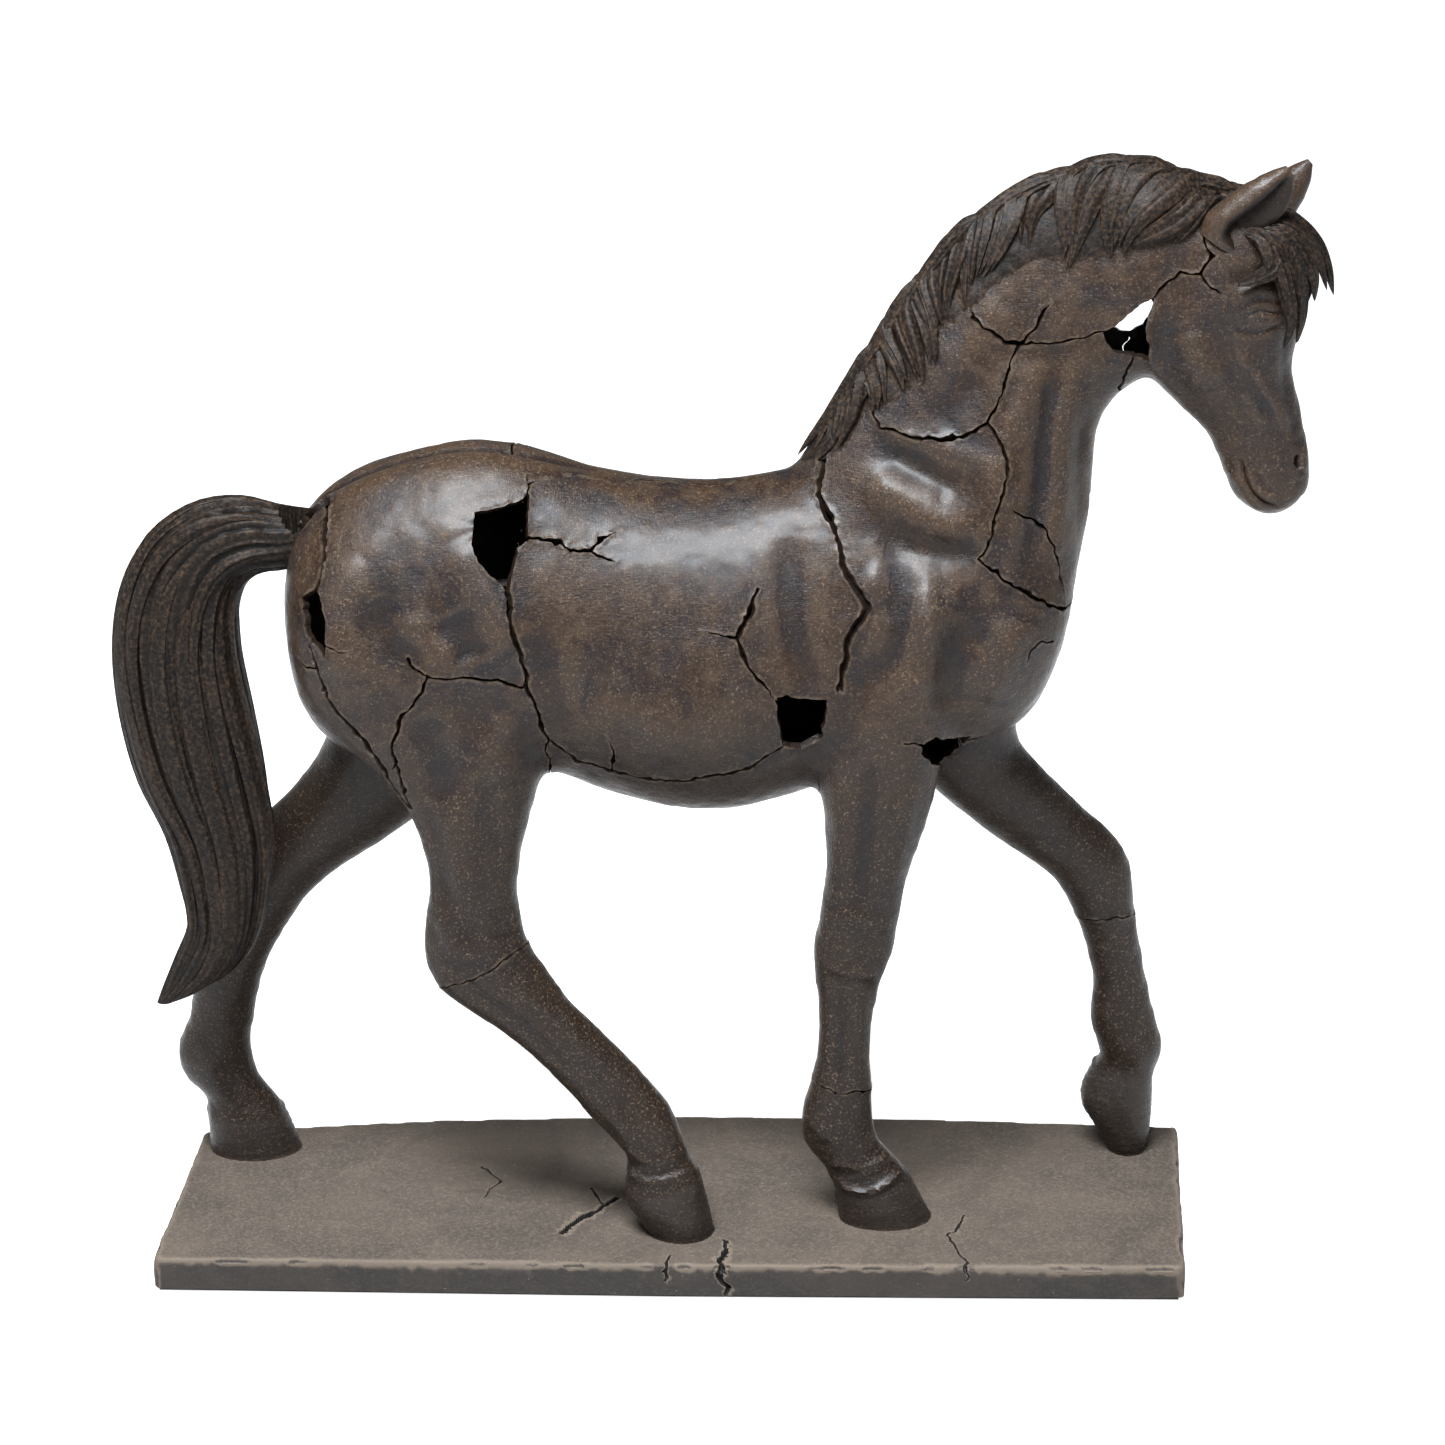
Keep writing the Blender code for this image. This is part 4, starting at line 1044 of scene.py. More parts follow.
def crease(points, faces):
    """The furrow along the back of the rump and the fold down the chest."""
    facing = normals(points, faces)
    x, y, z = points.T
    top = smooth_step(facing[:, 2], 0.3, 0.7) * smooth_step(x, -140, -110) * smooth_step(-x, 20, 60)
    push = -2.6 * np.exp(-(((y - MID_Y) / 3.2) ** 2)) * top * (z > 280)
    lobes = 1.6 * np.exp(-(((np.abs(y - MID_Y) - 12) / 8) ** 2)) * top * (z > 280)
    chest = smooth_step(facing[:, 0], 0.4, 0.8) * (z > 215) * (z < 300) * (x > 120)
    push -= 1.8 * np.exp(-(((y - MID_Y) / 3.5) ** 2)) * chest
    return points + facing * (push + lobes)[:, None]


def surface_noise(points, faces):
    """The unevenness of a hand-made surface."""
    facing = normals(points, faces)
    rough = 0.45 * noise(points, 22, 3) + 0.22 * noise(points, 9, 4) + 0.1 * noise(points, 3.4, 5)
    return points + facing * rough[:, None]


def warped(points):
    """(x, z) with a jagged shift, so straight crack lines come out broken."""
    shift_x = 0.9 * noise(points, 5.5, 11) + 0.55 * noise(points, 2.1, 12)
    shift_z = 0.9 * noise(points, 5.5, 13) + 0.55 * noise(points, 2.1, 14)
    return points[:, [0, 2]] + np.stack([shift_x, shift_z], axis=1)


def divide_y(points):
    """The y that parts the right plates from the left ones."""
    path = np.array(SPINE_CRACK, float)
    on_back = (points[:, 2] > 285) & (points[:, 0] > -50.5) & (points[:, 0] < 40)
    line = np.interp(points[:, 0], path[:, 0], path[:, 1], right=MID_Y)
    wobble = 0.8 * noise(points * [1, 0, 1], 4.0, 21)
    return np.where(on_back, line, MID_Y) + wobble


def on_side(points, side, middle):
    if side == "both":
        return np.ones(len(points), bool)
    return points[:, 1] < middle if side == "right" else points[:, 1] > middle


def crack_field(points, middle):
    """Distance to the nearest crack's edge, below 0 inside cracks and holes."""
    flat = warped(points)
    field = np.full(len(points), 50.0)
    widths = np.zeros(len(points))
    for path, side, half, tapers in OPEN_CRACKS:
        close = np.flatnonzero(near_box(flat, path, 6) & on_side(points, side, middle))
        if not len(close):
            continue
        away, along = path_distance(flat[close], path)
        width = CRACK_GAPE * half * (1 + 0.5 * noise(points[close], 3.0, 31))
        if tapers:
            width = width * smooth_step(1 - along, -0.02, 0.35) + 0.02
        nearer = away - width < field[close]
        widths[close[nearer]] = width[nearer]
        field[close] = np.minimum(field[close], away - width)
    close = np.flatnonzero((points[:, 2] > 290) & (points[:, 0] > -52) & (points[:, 0] < 32))
    flat_back = points[close][:, :2] + 0.8 * noise(points[close], 2.5, 33)[:, None]
    away, _ = path_distance(flat_back, SPINE_CRACK)
    width = 0.32 * smooth_step(noise(points[close], 9, 34), -0.55, 0.1)
    field[close] = np.minimum(field[close], away - width)
    for outline, side, beyond, slant in HOLES:
        slanted = flat + np.stack([0 * flat[:, 0], slant * (points[:, 1] + 20)], axis=1)
        close = np.flatnonzero(near_box(slanted, outline, 6) & on_side(points, side, middle + beyond))
        away, _ = path_distance(slanted[close], outline + outline[:1])
        edge = np.where(within(slanted[close], outline), -away, away)
        widths[close[edge < field[close]]] = 0
        field[close] = np.minimum(field[close], edge)
    close = np.flatnonzero((points[:, 2] > 280) & (points[:, 0] < -115))
    flat_top = points[close][:, :2] + 0.9 * noise(points[close], 4, 35)[:, None]
    away, _ = path_distance(flat_top, TAIL_HOLE + TAIL_HOLE[:1])
    inside = within(flat_top, TAIL_HOLE)
    field[close] = np.minimum(field[close], np.where(inside, -away, away))
    return field, widths


def rods():
    """(x, y) of the armature rods that pass into the plinth."""
    found = []
    for _, hoof in LEGS.values():
        front_x, _, back_x, _, y, _ = hoof[-1]
        found.append(((front_x + back_x) / 2, y))
    return found


def plate_of(points, faces, middle):
    """The number of the plate that each triangle belongs to."""
    centres = points[faces].mean(axis=1)
    flat = warped(centres)
    side_line = middle[faces].mean(axis=1)
    found = np.full(len(faces), -1)
    for number, (outline, side) in enumerate(FRAGMENTS.values()):
        close = np.flatnonzero((found < 0) & near_box(flat, outline, 1) & on_side(centres, side, side_line))
        inside = within(flat[close], outline)
        found[close[inside]] = number
    return found


def spread_labels(count, faces, found):
    """Gives each unlabelled triangle the label of a neighbour."""
    for _ in range(60):
        empty = found < 0
        if not empty.any():
            break
        on_point = np.full(count, -1)
        for corner in range(3):
            labelled = faces[~empty, corner]
            on_point[labelled] = found[~empty]
        found[empty] = on_point[faces[empty]].max(axis=1)
    return found


def settle_labels(points, faces, found):
    """Small stray patches of a plate's label take the label round them, and loose crumbs are dropped."""
    areas = face_areas(points, faces)
    for number in range(len(FRAGMENTS)):
        mine = np.flatnonzero(found == number)
        if not len(mine):
            continue
        part = islands(len(points), faces[mine])[faces[mine][:, 0]]
        sizes = np.bincount(part, areas[mine])
        small = sizes[part] < STRAY_AREA
        found[mine[small]] = -1
    found = spread_labels(len(points), faces, found)
    part = islands(len(points), faces)[faces[:, 0]]
    sizes = np.bincount(part, areas)
    found[sizes[part] < CRUMB_AREA] = DROPPED
    return found


def relief_of(points, faces, facing, broad_rounds=60, fine_rounds=8):
    """How much each point stands out from the surface round it, at a broad and a fine scale."""
    broad = relax(points, faces, broad_rounds, 0.7)
    fine = relax(points, faces, fine_rounds, 0.6)
    return np.sum((points - broad) * facing, axis=1), np.sum((points - fine) * facing, axis=1)


def hoof_mask(points):
    """1 on the hooves and 0 above the coronets."""
    found = np.zeros(len(points))
    for _, hoof in LEGS.values():
        front_x, front_z, back_x, back_z, y, _ = hoof[0]
        line = back_z + (points[:, 0] - back_x) * (front_z - back_z) / (front_x - back_x)
        near = (points[:, 0] > back_x - 12) & (points[:, 0] < front_x + 26)
        near &= np.abs(points[:, 1] - y) < 22
        below = smooth_step(line - 3 - points[:, 2], -0.8, 0.8)
        found = np.maximum(found, near * below)
    return found


def hoof_lines(points, faces):
    """Faint growth rings on the hoof walls."""
    facing = normals(points, faces)
    rings = 0.16 * np.sin(points[:, 2] * 2.3 + 0.8 * noise(points, 6, 41)) * hoof_mask(points)
    return points + facing * rings[:, None]


def make_horse(material):
    points, faces = make_skin()
    points = crease(points, faces)
    points = sculpt(points, faces)
    points = hoof_lines(surface_noise(points, faces), faces)
    plain = (points.copy(), faces.copy())
    for band in (2.6, 1.3):
        field, _ = crack_field(points, divide_y(points))
        points, faces = refine(points, faces, np.abs(field) < band)
    facing = normals(points, faces)
    broad, fine = relief_of(points, faces, facing)
    middle = divide_y(points)
    field, widths = crack_field(points, middle)
    field = np.minimum(field, points[:, 2] - (PLINTH_TOP - 0.6))
    lip = np.exp(-((np.maximum(field, 0) / 1.1) ** 2))
    points = points + facing * (0.28 * lip * (0.6 + 0.8 * noise(points, 2.2, 51)))[:, None]
    values = [facing, broad, fine, lip, middle, hoof_mask(points), widths]
    points, faces, pairs, share = clip(points, faces, field)
    values = [mixed(value, pairs, share) for value in values]
    points, faces, *values = compact(points, faces, *values)
    facing, broad, fine, lip, middle, hoof, widths = values
    found = settle_labels(points, faces, spread_labels(len(points), faces, plate_of(points, faces, middle)))
    rng = np.random.default_rng(7)
    for number, name in enumerate(FRAGMENTS):
        mine = faces[found == number]
        lift = rng.uniform(-0.12, 0.28)
        used = compact(points, mine, facing, widths, broad, fine, lip, hoof)
        plate, plate_faces, out, reach, *marks = used
        out /= np.linalg.norm(out, axis=1)[:, None]
        solid, solid_faces, inner = thicken(plate + out * lift, plate_faces, out, SKIN_THICK, reach * WALL_LEAN)
        labels = ("relief", "fine", "lip", "hoof")
        shown = {label: np.concatenate([mark, mark]) for label, mark in zip(labels, marks)}
        shown["inner"] = inner
        finish_piece(name + "_cast", solid, solid_faces, material, [name], shown)
    return plain


# ---------------------------------------------------------------- hair and ears


def unit(rows):
    return rows / np.maximum(np.linalg.norm(rows, axis=-1, keepdims=True), 1e-9)


def strand(path, outs, width, depth, seed, sides=16, grooves=5, blunt=0.25):
    """A tapered, grooved lock along a path of 3-D points. outs point away from the surface below."""
    path = np.asarray(path, float)
    outs = unit(np.asarray(outs, float))
    count = len(path)
    ahead = unit(np.gradient(path, axis=0))
    across = unit(np.cross(ahead, outs))
    outs = unit(np.cross(across, ahead))
    t = np.arange(count) / (count - 1)
    swell = np.minimum(1, (t + 0.02) / blunt) ** 0.6 * np.maximum(1 - t**3.5, 0.0) ** 0.8 + 0.015
    angles = 2 * math.pi * np.arange(sides) / sides
    rng = np.random.default_rng(seed)
    phase = rng.uniform(0, 6.28)
    points = []
    for i in range(count):
        twist = phase + 1.6 * t[i]
        ripple = 1 + 0.13 * np.cos(grooves * angles + twist)
        ripple = ripple + 0.06 * np.cos((2 * grooves + 1) * angles - twist)
        ring = path[i] + (width / 2 * swell[i] * ripple * np.cos(angles))[:, None] * across[i]
        ring = ring + (depth * swell[i] * ripple * np.sin(angles))[:, None] * outs[i]
        points.append(ring)
    return np.vstack(points), tube_faces(count, sides)


def lay_on(tree, path, sign, lift):
    """3-D points over the skin for an (x, z) path on one side, and the skin's directions there."""
    found, outs = [], []
    for x, z in path:
        start = Vector((x, MID_Y + sign * 80, z))
        hit, facing, _, _ = tree.ray_cast(start, Vector((0, -sign, 0)))
        if hit is None:
            hit, facing, _, _ = tree.find_nearest(Vector((x, MID_Y + sign * 2, z)))
        found.append(hit[:])
        outs.append(facing[:])
    found, outs = np.array(found), np.array(outs)
    for _ in range(6):
        found[1:-1] = 0.5 * found[1:-1] + 0.25 * (found[:-2] + found[2:])
        outs[1:-1] = 0.5 * outs[1:-1] + 0.25 * (outs[:-2] + outs[2:])
    return found + unit(outs) * lift[:, None], unit(outs)


def lock_strands(tree, path, width, sign, seed, height=2.0):
    """A lock of several strands side by side that come together at its tip."""
    rng = np.random.default_rng(seed)
    made = []
    curve = spline(path, 7)
    count = len(curve)
    t = np.arange(count) / (count - 1)
    flow = unit(np.gradient(curve, axis=0))
    side = np.stack([-flow[:, 1], flow[:, 0]], axis=1)
    for place in (-0.36, -0.02, 0.34):
        length = count - int(rng.integers(0, 1 + count // 10))
        spread = width * (place + rng.uniform(-0.05, 0.05)) * (1 - 0.6 * t**2)
        bend = 0.6 * rng.uniform(-1, 1) * np.sin(math.pi * t * rng.uniform(1.2, 2.2))
        strand_path = (curve + side * (spread + bend)[:, None])[:length]
        rise = 0.35 + 0.65 * smooth_step(t[:length], 0, 0.25)
        lift = height * (1 - 0.45 * t[:length]) * rng.uniform(0.75, 1.2) * rise
        points, outs = lay_on(tree, strand_path, sign, lift)
        thick = 0.74 * width * rng.uniform(0.8, 1.2)
        deep = 3.1 * rng.uniform(0.75, 1.15)
        made.append(strand(points, outs, thick, deep, int(rng.integers(1e6)), 18, 4))
    return made


def saddle(points, faces, outline, low_y, high_y, lift):
    """A closed patch over the skin under the mane, where the hair meets the neck."""
    centres = points[faces].mean(axis=1)
    facing = normals(points, faces)
    inside = within(centres[:, [0, 2]], outline) & (centres[:, 1] > low_y) & (centres[:, 1] < high_y)
    patch, patch_faces, out = compact(points, faces[inside], facing)
    edges, sides = face_edges(patch_faces)
    open_edge = np.bincount(sides.ravel(), minlength=len(edges)) == 1
    rim = np.zeros(len(patch), bool)
    rim[edges[open_edge].ravel()] = True
    inset = (~rim).astype(float)
    for _ in range(5):
        inset = np.minimum(inset, relax(inset[:, None], patch_faces, 1, 1.0)[:, 0])
    uneven = 0.25 * noise(patch, 4, 61)
    raised = patch + out * (inset * (lift + uneven))[:, None]
    solid, solid_faces, _ = thicken(raised, patch_faces, out, lift + 1.5, np.zeros(len(patch)))
    return solid, solid_faces


def finish_hair(name, points, faces, material):
    """A finished piece of hair in place of the node of this name."""
    finish_piece(name + "_hair", points, faces, material, [name], {}, 55)


def make_mane(skin, material):
    points, faces = skin
    tree = BVHTree.FromPolygons(points.tolist(), faces.tolist())
    seed = 100
    for name, locks in MANE_LOCKS.items():
        parts = [saddle(points, faces, MANES[name], MID_Y - 15, MID_Y + 14, 0.8)]
        for path, width in locks:
            seed += 1
            parts += lock_strands(tree, path, width, -1, seed, 1.5 + 1.1 * (seed % 3))
            far = spline(path, 4)
            far = far[: int(len(far) * 0.72)]
            parts += lock_strands(tree, far[::3], width, 1, seed + 500)
        solid, solid_faces = join(parts)
        finish_hair(name, solid, solid_faces, material)


def make_forelock(material):
    parts = [loft(FORELOCK_ROOT, 24, 4)]
    seed = 300
    for path, ys, width in FORELOCK_LOCKS:
        rows = [(x, y, z) for (x, z), y in zip(path, ys)]
        curve = spline(rows, 6)
        outs = unit(curve - np.array([205, MID_Y, 372]))
        side = unit(np.cross(unit(np.gradient(curve, axis=0)), outs))
        t = np.arange(len(curve)) / (len(curve) - 1)
        for place in (-0.34, 0.0, 0.34):
            seed += 1
            shifted = curve + side * (width * place * (1 - 0.7 * t**2))[:, None] + outs * 0.8
            parts.append(strand(shifted, outs, 0.85 * width, 2.4, seed))
    solid, solid_faces = join(parts)
    finish_hair("forelock", solid, solid_faces, material)


def tail_point(rings, t, angle, lift):
    """Points over the tail's outer form, and its outward directions there."""
    place = np.clip(t, 0, 1) * (len(rings) - 1)
    low = np.minimum(place.astype(int), len(rings) - 2)
    mix = (place - low)[:, None]
    row = rings[low] * (1 - mix) + rings[low + 1] * mix
    middle = np.stack([(row[:, 0] + row[:, 2]) / 2, row[:, 4], (row[:, 1] + row[:, 3]) / 2], axis=1)
    reach = np.stack([(row[:, 0] - row[:, 2]) / 2, 0 * row[:, 0], (row[:, 1] - row[:, 3]) / 2], axis=1)
    wide = np.stack([0 * row[:, 5], row[:, 5], 0 * row[:, 5]], axis=1)
    arm = reach * np.cos(angle)[:, None] + wide * np.sin(angle)[:, None]
    out = unit(arm)
    return middle + arm + out * lift[:, None], out


def make_tail(material):
    def grooved(t, angles):
        twist = angles + 0.9 * t
        ripple = 0.05 * np.abs(np.cos(5.5 * twist + 0.8 * np.sin(6 * t)))
        ripple = ripple + 0.022 * np.cos(23 * twist + 3 * t)
        ripple += 0.05 * np.abs(np.cos(3 * twist - 2 * t)) + 0.012 * np.cos(41 * twist)
        return 0.88 + ripple * min(1, 8 * t + 0.2)

    rings = spline(TAIL, 8)
    parts = [loft(TAIL, 128, 9, 0.0, grooved)]
    rng = np.random.default_rng(17)
    count = 20
    for number in range(count):
        around = 2 * math.pi * number / count + rng.uniform(-0.1, 0.1)
        start = rng.uniform(0.1, 0.35) if number % 3 else 0.08
        end = min(1.0, start + rng.uniform(0.5, 0.8)) if number % 4 else 1.0
        t = np.linspace(start, end, 46)
        sway = 0.16 * np.sin(7 * t + rng.uniform(0, 6.28))
        angle = around - 0.9 * t + sway
        lift = -1.6 + 1.5 * np.sin(math.pi * (t - start) / (end - start)) * rng.uniform(0.3, 1.2)
        points, outs = tail_point(rings, t, angle, lift)
        parts.append(strand(points, outs, rng.uniform(5.0, 9.5), 2.6, 900 + number, 20, 5))
    solid, solid_faces = join(parts)
    pit = within(solid[:, :2], TAIL_HOLE) & (solid[:, 2] > PIT_FLOOR)
    solid[pit, 2] = PIT_FLOOR + 0.15 * (solid[pit, 2] - PIT_FLOOR)
    finish_hair("tail", solid, solid_faces, material)


def make_ears(material):
    for name, ribs, opening in (("ear_right", NEAR_EAR, -2.1), ("ear_left", EAR_LEFT, 2.1)):

        def cupped(t, angles, opening=opening):
            gap = np.abs((angles - opening + math.pi) % (2 * math.pi) - math.pi)
            depth = smooth_step(t, 0.02, 0.3) * (1 - smooth_step(t, 0.8, 1.0))
            return 1 - 1.35 * depth * np.exp(-((gap / 0.72) ** 4))

        whole, _ = loft(ribs, 48, 10, 0.0)
        points, faces = loft(ribs, 48, 10, 0.0, cupped)
        hollow = np.clip(np.linalg.norm(points - whole, axis=1) / 3, 0, 0.9)
        faces = outward(points, faces)
        facing = normals(points, faces)
        points = points + facing * (0.18 * noise(points, 2.5, 81))[:, None]
        broad, fine = relief_of(points, faces, facing)
        none = 0 * broad
        values = {"relief": 0.3 * broad - 0.7, "fine": fine, "lip": none, "hoof": none, "inner": hollow}
        finish_piece(name + "_cast", points, faces, material, [name], values, 60)


# ---------------------------------------------------------------- the plinth


PLINTH_OUTLINE = [
    (-194.5, -58.5), (0, -60.5), (195, -59.5), (202, 61), (110, 66), (0, 67.5), (-95, 62),
    (-189, 50),
]
PLINTH_CRACKS = [
    # (x, y) points on the top, half width, depth
    ([(-22, -6), (-28, -14), (-34, -24), (-41, -34)], 0.9, 4.0),
    ([(-31, 1), (-27, -10)], 0.6, 2.5),
    ([(22, -40), (20, -50), (22, -62)], 0.8, 3.0),
    ([(0, -52), (-1, -62)], 0.4, 1.5),
    ([(112, -18), (108, -34), (113, -56), (112, -62)], 0.4, 1.2),
    ([(-75, 20), (-68, 8), (-71, -6)], 0.35, 1.0),
]
FACE_CRACKS = [
    # (x, z) points on the front face
    ([(22, 15), (20, 10), (24, 6), (22, 1)], 0.7, 2.5),
    ([(-1, 15), (0, 10), (-2, 7)], 0.45, 1.5),
    ([(112, 15), (114, 9)], 0.35, 1.2),
]


def make_plinth(material):
    count = len(PLINTH_OUTLINE)
    corners = [(x, y, z) for z in (-6, PLINTH_TOP - 0.3) for x, y in PLINTH_OUTLINE]
    faces = [(i, (i + 1) % count, count + (i + 1) % count) for i in range(count)]
    faces += [(i, count + (i + 1) % count, count + i) for i in range(count)]
    faces += [(0, i + 1, i) for i in range(1, count - 1)]
    faces += [(count, count + i, count + i + 1) for i in range(1, count - 1)]
    block = add_mesh("plinth_block", *join([(np.array(corners, float), np.array(faces))]))
    bevel = block.modifiers.new("worn", "BEVEL")
    bevel.width = 1.6 * MM
    bevel.segments = 3
    remesh = block.modifiers.new("skin", "REMESH")
    remesh.mode = "VOXEL"
    remesh.voxel_size = 1.5 * MM
    points, faces = read_mesh(block)
    points = relax(points, faces, 3, 0.5)
    facing = normals(points, faces)
    flat_top = facing[:, 2] > 0.85
    edge = 1 - np.max(np.abs(facing), axis=1)
    wear = 0.9 * smooth_step(edge, 0.05, 0.3) * smooth_step(noise(points, 7, 91), 0.0, 0.6)
    rough = np.where(flat_top, 0.1, 0.32) * noise(points, 9, 92)
    rough = rough + np.where(flat_top, 0.05, 0.16) * noise(points, 3, 93)
    points = points + facing * (rough - wear)[:, None]
    for band in (3.0, 1.5):
        points, faces = refine(points, faces, plinth_cracks(points, True) < band)
    facing = normals(points, faces)
    sink = plinth_cracks(points, False)
    points = points - facing * sink[:, None]
    field = points[:, 2] - FELT_TOP
    for x, y in rods():
        field = np.minimum(field, np.hypot(points[:, 0] - x, points[:, 1] - y) - ROD_ROOM)
    _, fine = relief_of(points, faces, facing, 1, 2)
    points, faces, pairs, share = clip(points, faces, field)
    facing, fine, sink = (mixed(value, pairs, share) for value in (facing, fine, sink))
    points, faces, facing, fine, sink = compact(points, faces, facing, fine, sink)
    solid, solid_faces, inner = thicken(points, faces, unit(facing), 5.0, np.zeros(len(points)))
    # The crack attribute carries how deep the cracks sink, for the painted shade in them.
    values = {"fine": np.concatenate([fine, fine]), "crack": np.concatenate([sink, sink]), "inner": inner}
    finish_piece("plinth_cast", solid, solid_faces, material, ["plinth"], values, 50)


def plinth_cracks(points, distance):
    """Distance to the nearest crack's middle, or how deep the cracks sink each point."""
    nearest = np.full(len(points), 50.0)
    sink = np.zeros(len(points))
    front = points[:, 1] < -58
    jag_along = noise(points, 2.6, 95) + 1.4 * noise(points, 7, 97)
    jag_across = noise(points, 2.6, 96) + 1.4 * noise(points, 7, 98)
    jag = np.stack([jag_along, jag_across], axis=1)
    for cracks, axes, mask in ((PLINTH_CRACKS, [0, 1], points[:, 2] > 11), (FACE_CRACKS, [0, 2], front)):
        for path, half, depth in cracks:
            flat = points[:, axes] + jag
            close = np.flatnonzero(mask & near_box(flat, path, 8))
            away, along = path_distance(flat[close], path)
            nearest[close] = np.minimum(nearest[close], away)
            width = half * (1 + 0.5 * noise(points[close], 4, 99))
            here = depth * (1 - smooth_step(away, width * 0.6, width * 1.25))
            here = here * (0.5 + 0.5 * smooth_step(1 - along, 0, 0.3))
            sink[close] = np.maximum(sink[close], here)
    return nearest if distance else sink


# ---------------------------------------------------------------- materials


class Nodes:
    """Short calls for building a material's nodes."""

    def __init__(self, name, roughness, metallic=0.0):
        self.material = bpy.data.materials.new(name)
        self.material.use_nodes = True
        self.tree = self.material.node_tree
        self.shader = self.tree.nodes["Principled BSDF"]
        self.shader.inputs["Roughness"].default_value = roughness
        self.shader.inputs["Metallic"].default_value = metallic
        self.coords = self.add("ShaderNodeTexCoord").outputs["Object"]

    def add(self, kind, **settings):
        node = self.tree.nodes.new(kind)
        for key, value in settings.items():
            setattr(node, key, value)
        return node

    def put(self, socket, value):
        """Links a socket, or sets the input's own value."""
        if isinstance(value, bpy.types.NodeSocket):
            self.tree.links.new(value, socket)
        else:
            socket.default_value = value

    def noise(self, scale, detail=3.0, rough=0.55, stretch=None, warp=0.0):
        node = self.add("ShaderNodeTexNoise")
        node.inputs["Scale"].default_value = scale
        node.inputs["Detail"].default_value = detail
        node.inputs["Roughness"].default_value = rough
        node.inputs["Distortion"].default_value = warp
        source = self.coords
        if stretch:
            mapping = self.add("ShaderNodeMapping")
            mapping.inputs["Scale"].default_value = stretch
            self.put(mapping.inputs["Vector"], source)
            source = mapping.outputs["Vector"]
        self.put(node.inputs["Vector"], source)
        return node.outputs["Fac"]

    def cells(self, scale):
        node = self.add("ShaderNodeTexVoronoi")
        node.inputs["Scale"].default_value = scale
        self.put(node.inputs["Vector"], self.coords)
        return node.outputs["Distance"]

    def attribute(self, name):
        return self.add("ShaderNodeAttribute", attribute_name=name).outputs["Fac"]

    def ramp(self, value, low, high, start=0.0, end=1.0):
        node = self.add("ShaderNodeMapRange", interpolation_type="SMOOTHSTEP")
        for socket, setting in zip(list(node.inputs)[:5], (value, low, high, start, end)):
            self.put(socket, setting)
        return node.outputs["Result"]

    def math(self, operation, a, b=0.0):
        node = self.add("ShaderNodeMath", operation=operation)
        self.put(node.inputs[0], a)
        self.put(node.inputs[1], b)
        return node.outputs["Value"]

    def times(self, a, b):
        return self.math("MULTIPLY", a, b)

    def mix(self, share, a, b):
        node = self.add("ShaderNodeMix", data_type="RGBA")
        self.put(node.inputs["Factor"], share)
        self.put(node.inputs["A"], a)
        self.put(node.inputs["B"], b)
        return node.outputs["Result"]

    def bump(self, height, distance, strength=1.0, before=None):
        node = self.add("ShaderNodeBump")
        node.inputs["Distance"].default_value = distance
        node.inputs["Strength"].default_value = strength
        self.put(node.inputs["Height"], height)
        if before is not None:
            self.put(node.inputs["Normal"], before)
        return node.outputs["Normal"]


def rgb(red, green, blue):
    """A colour given in display values from 0 to 255."""

    def linear(value):
        value /= 255
        return value / 12.92 if value <= 0.04045 else ((value + 0.055) / 1.055) ** 2.4

    return (linear(red), linear(green), linear(blue), 1)


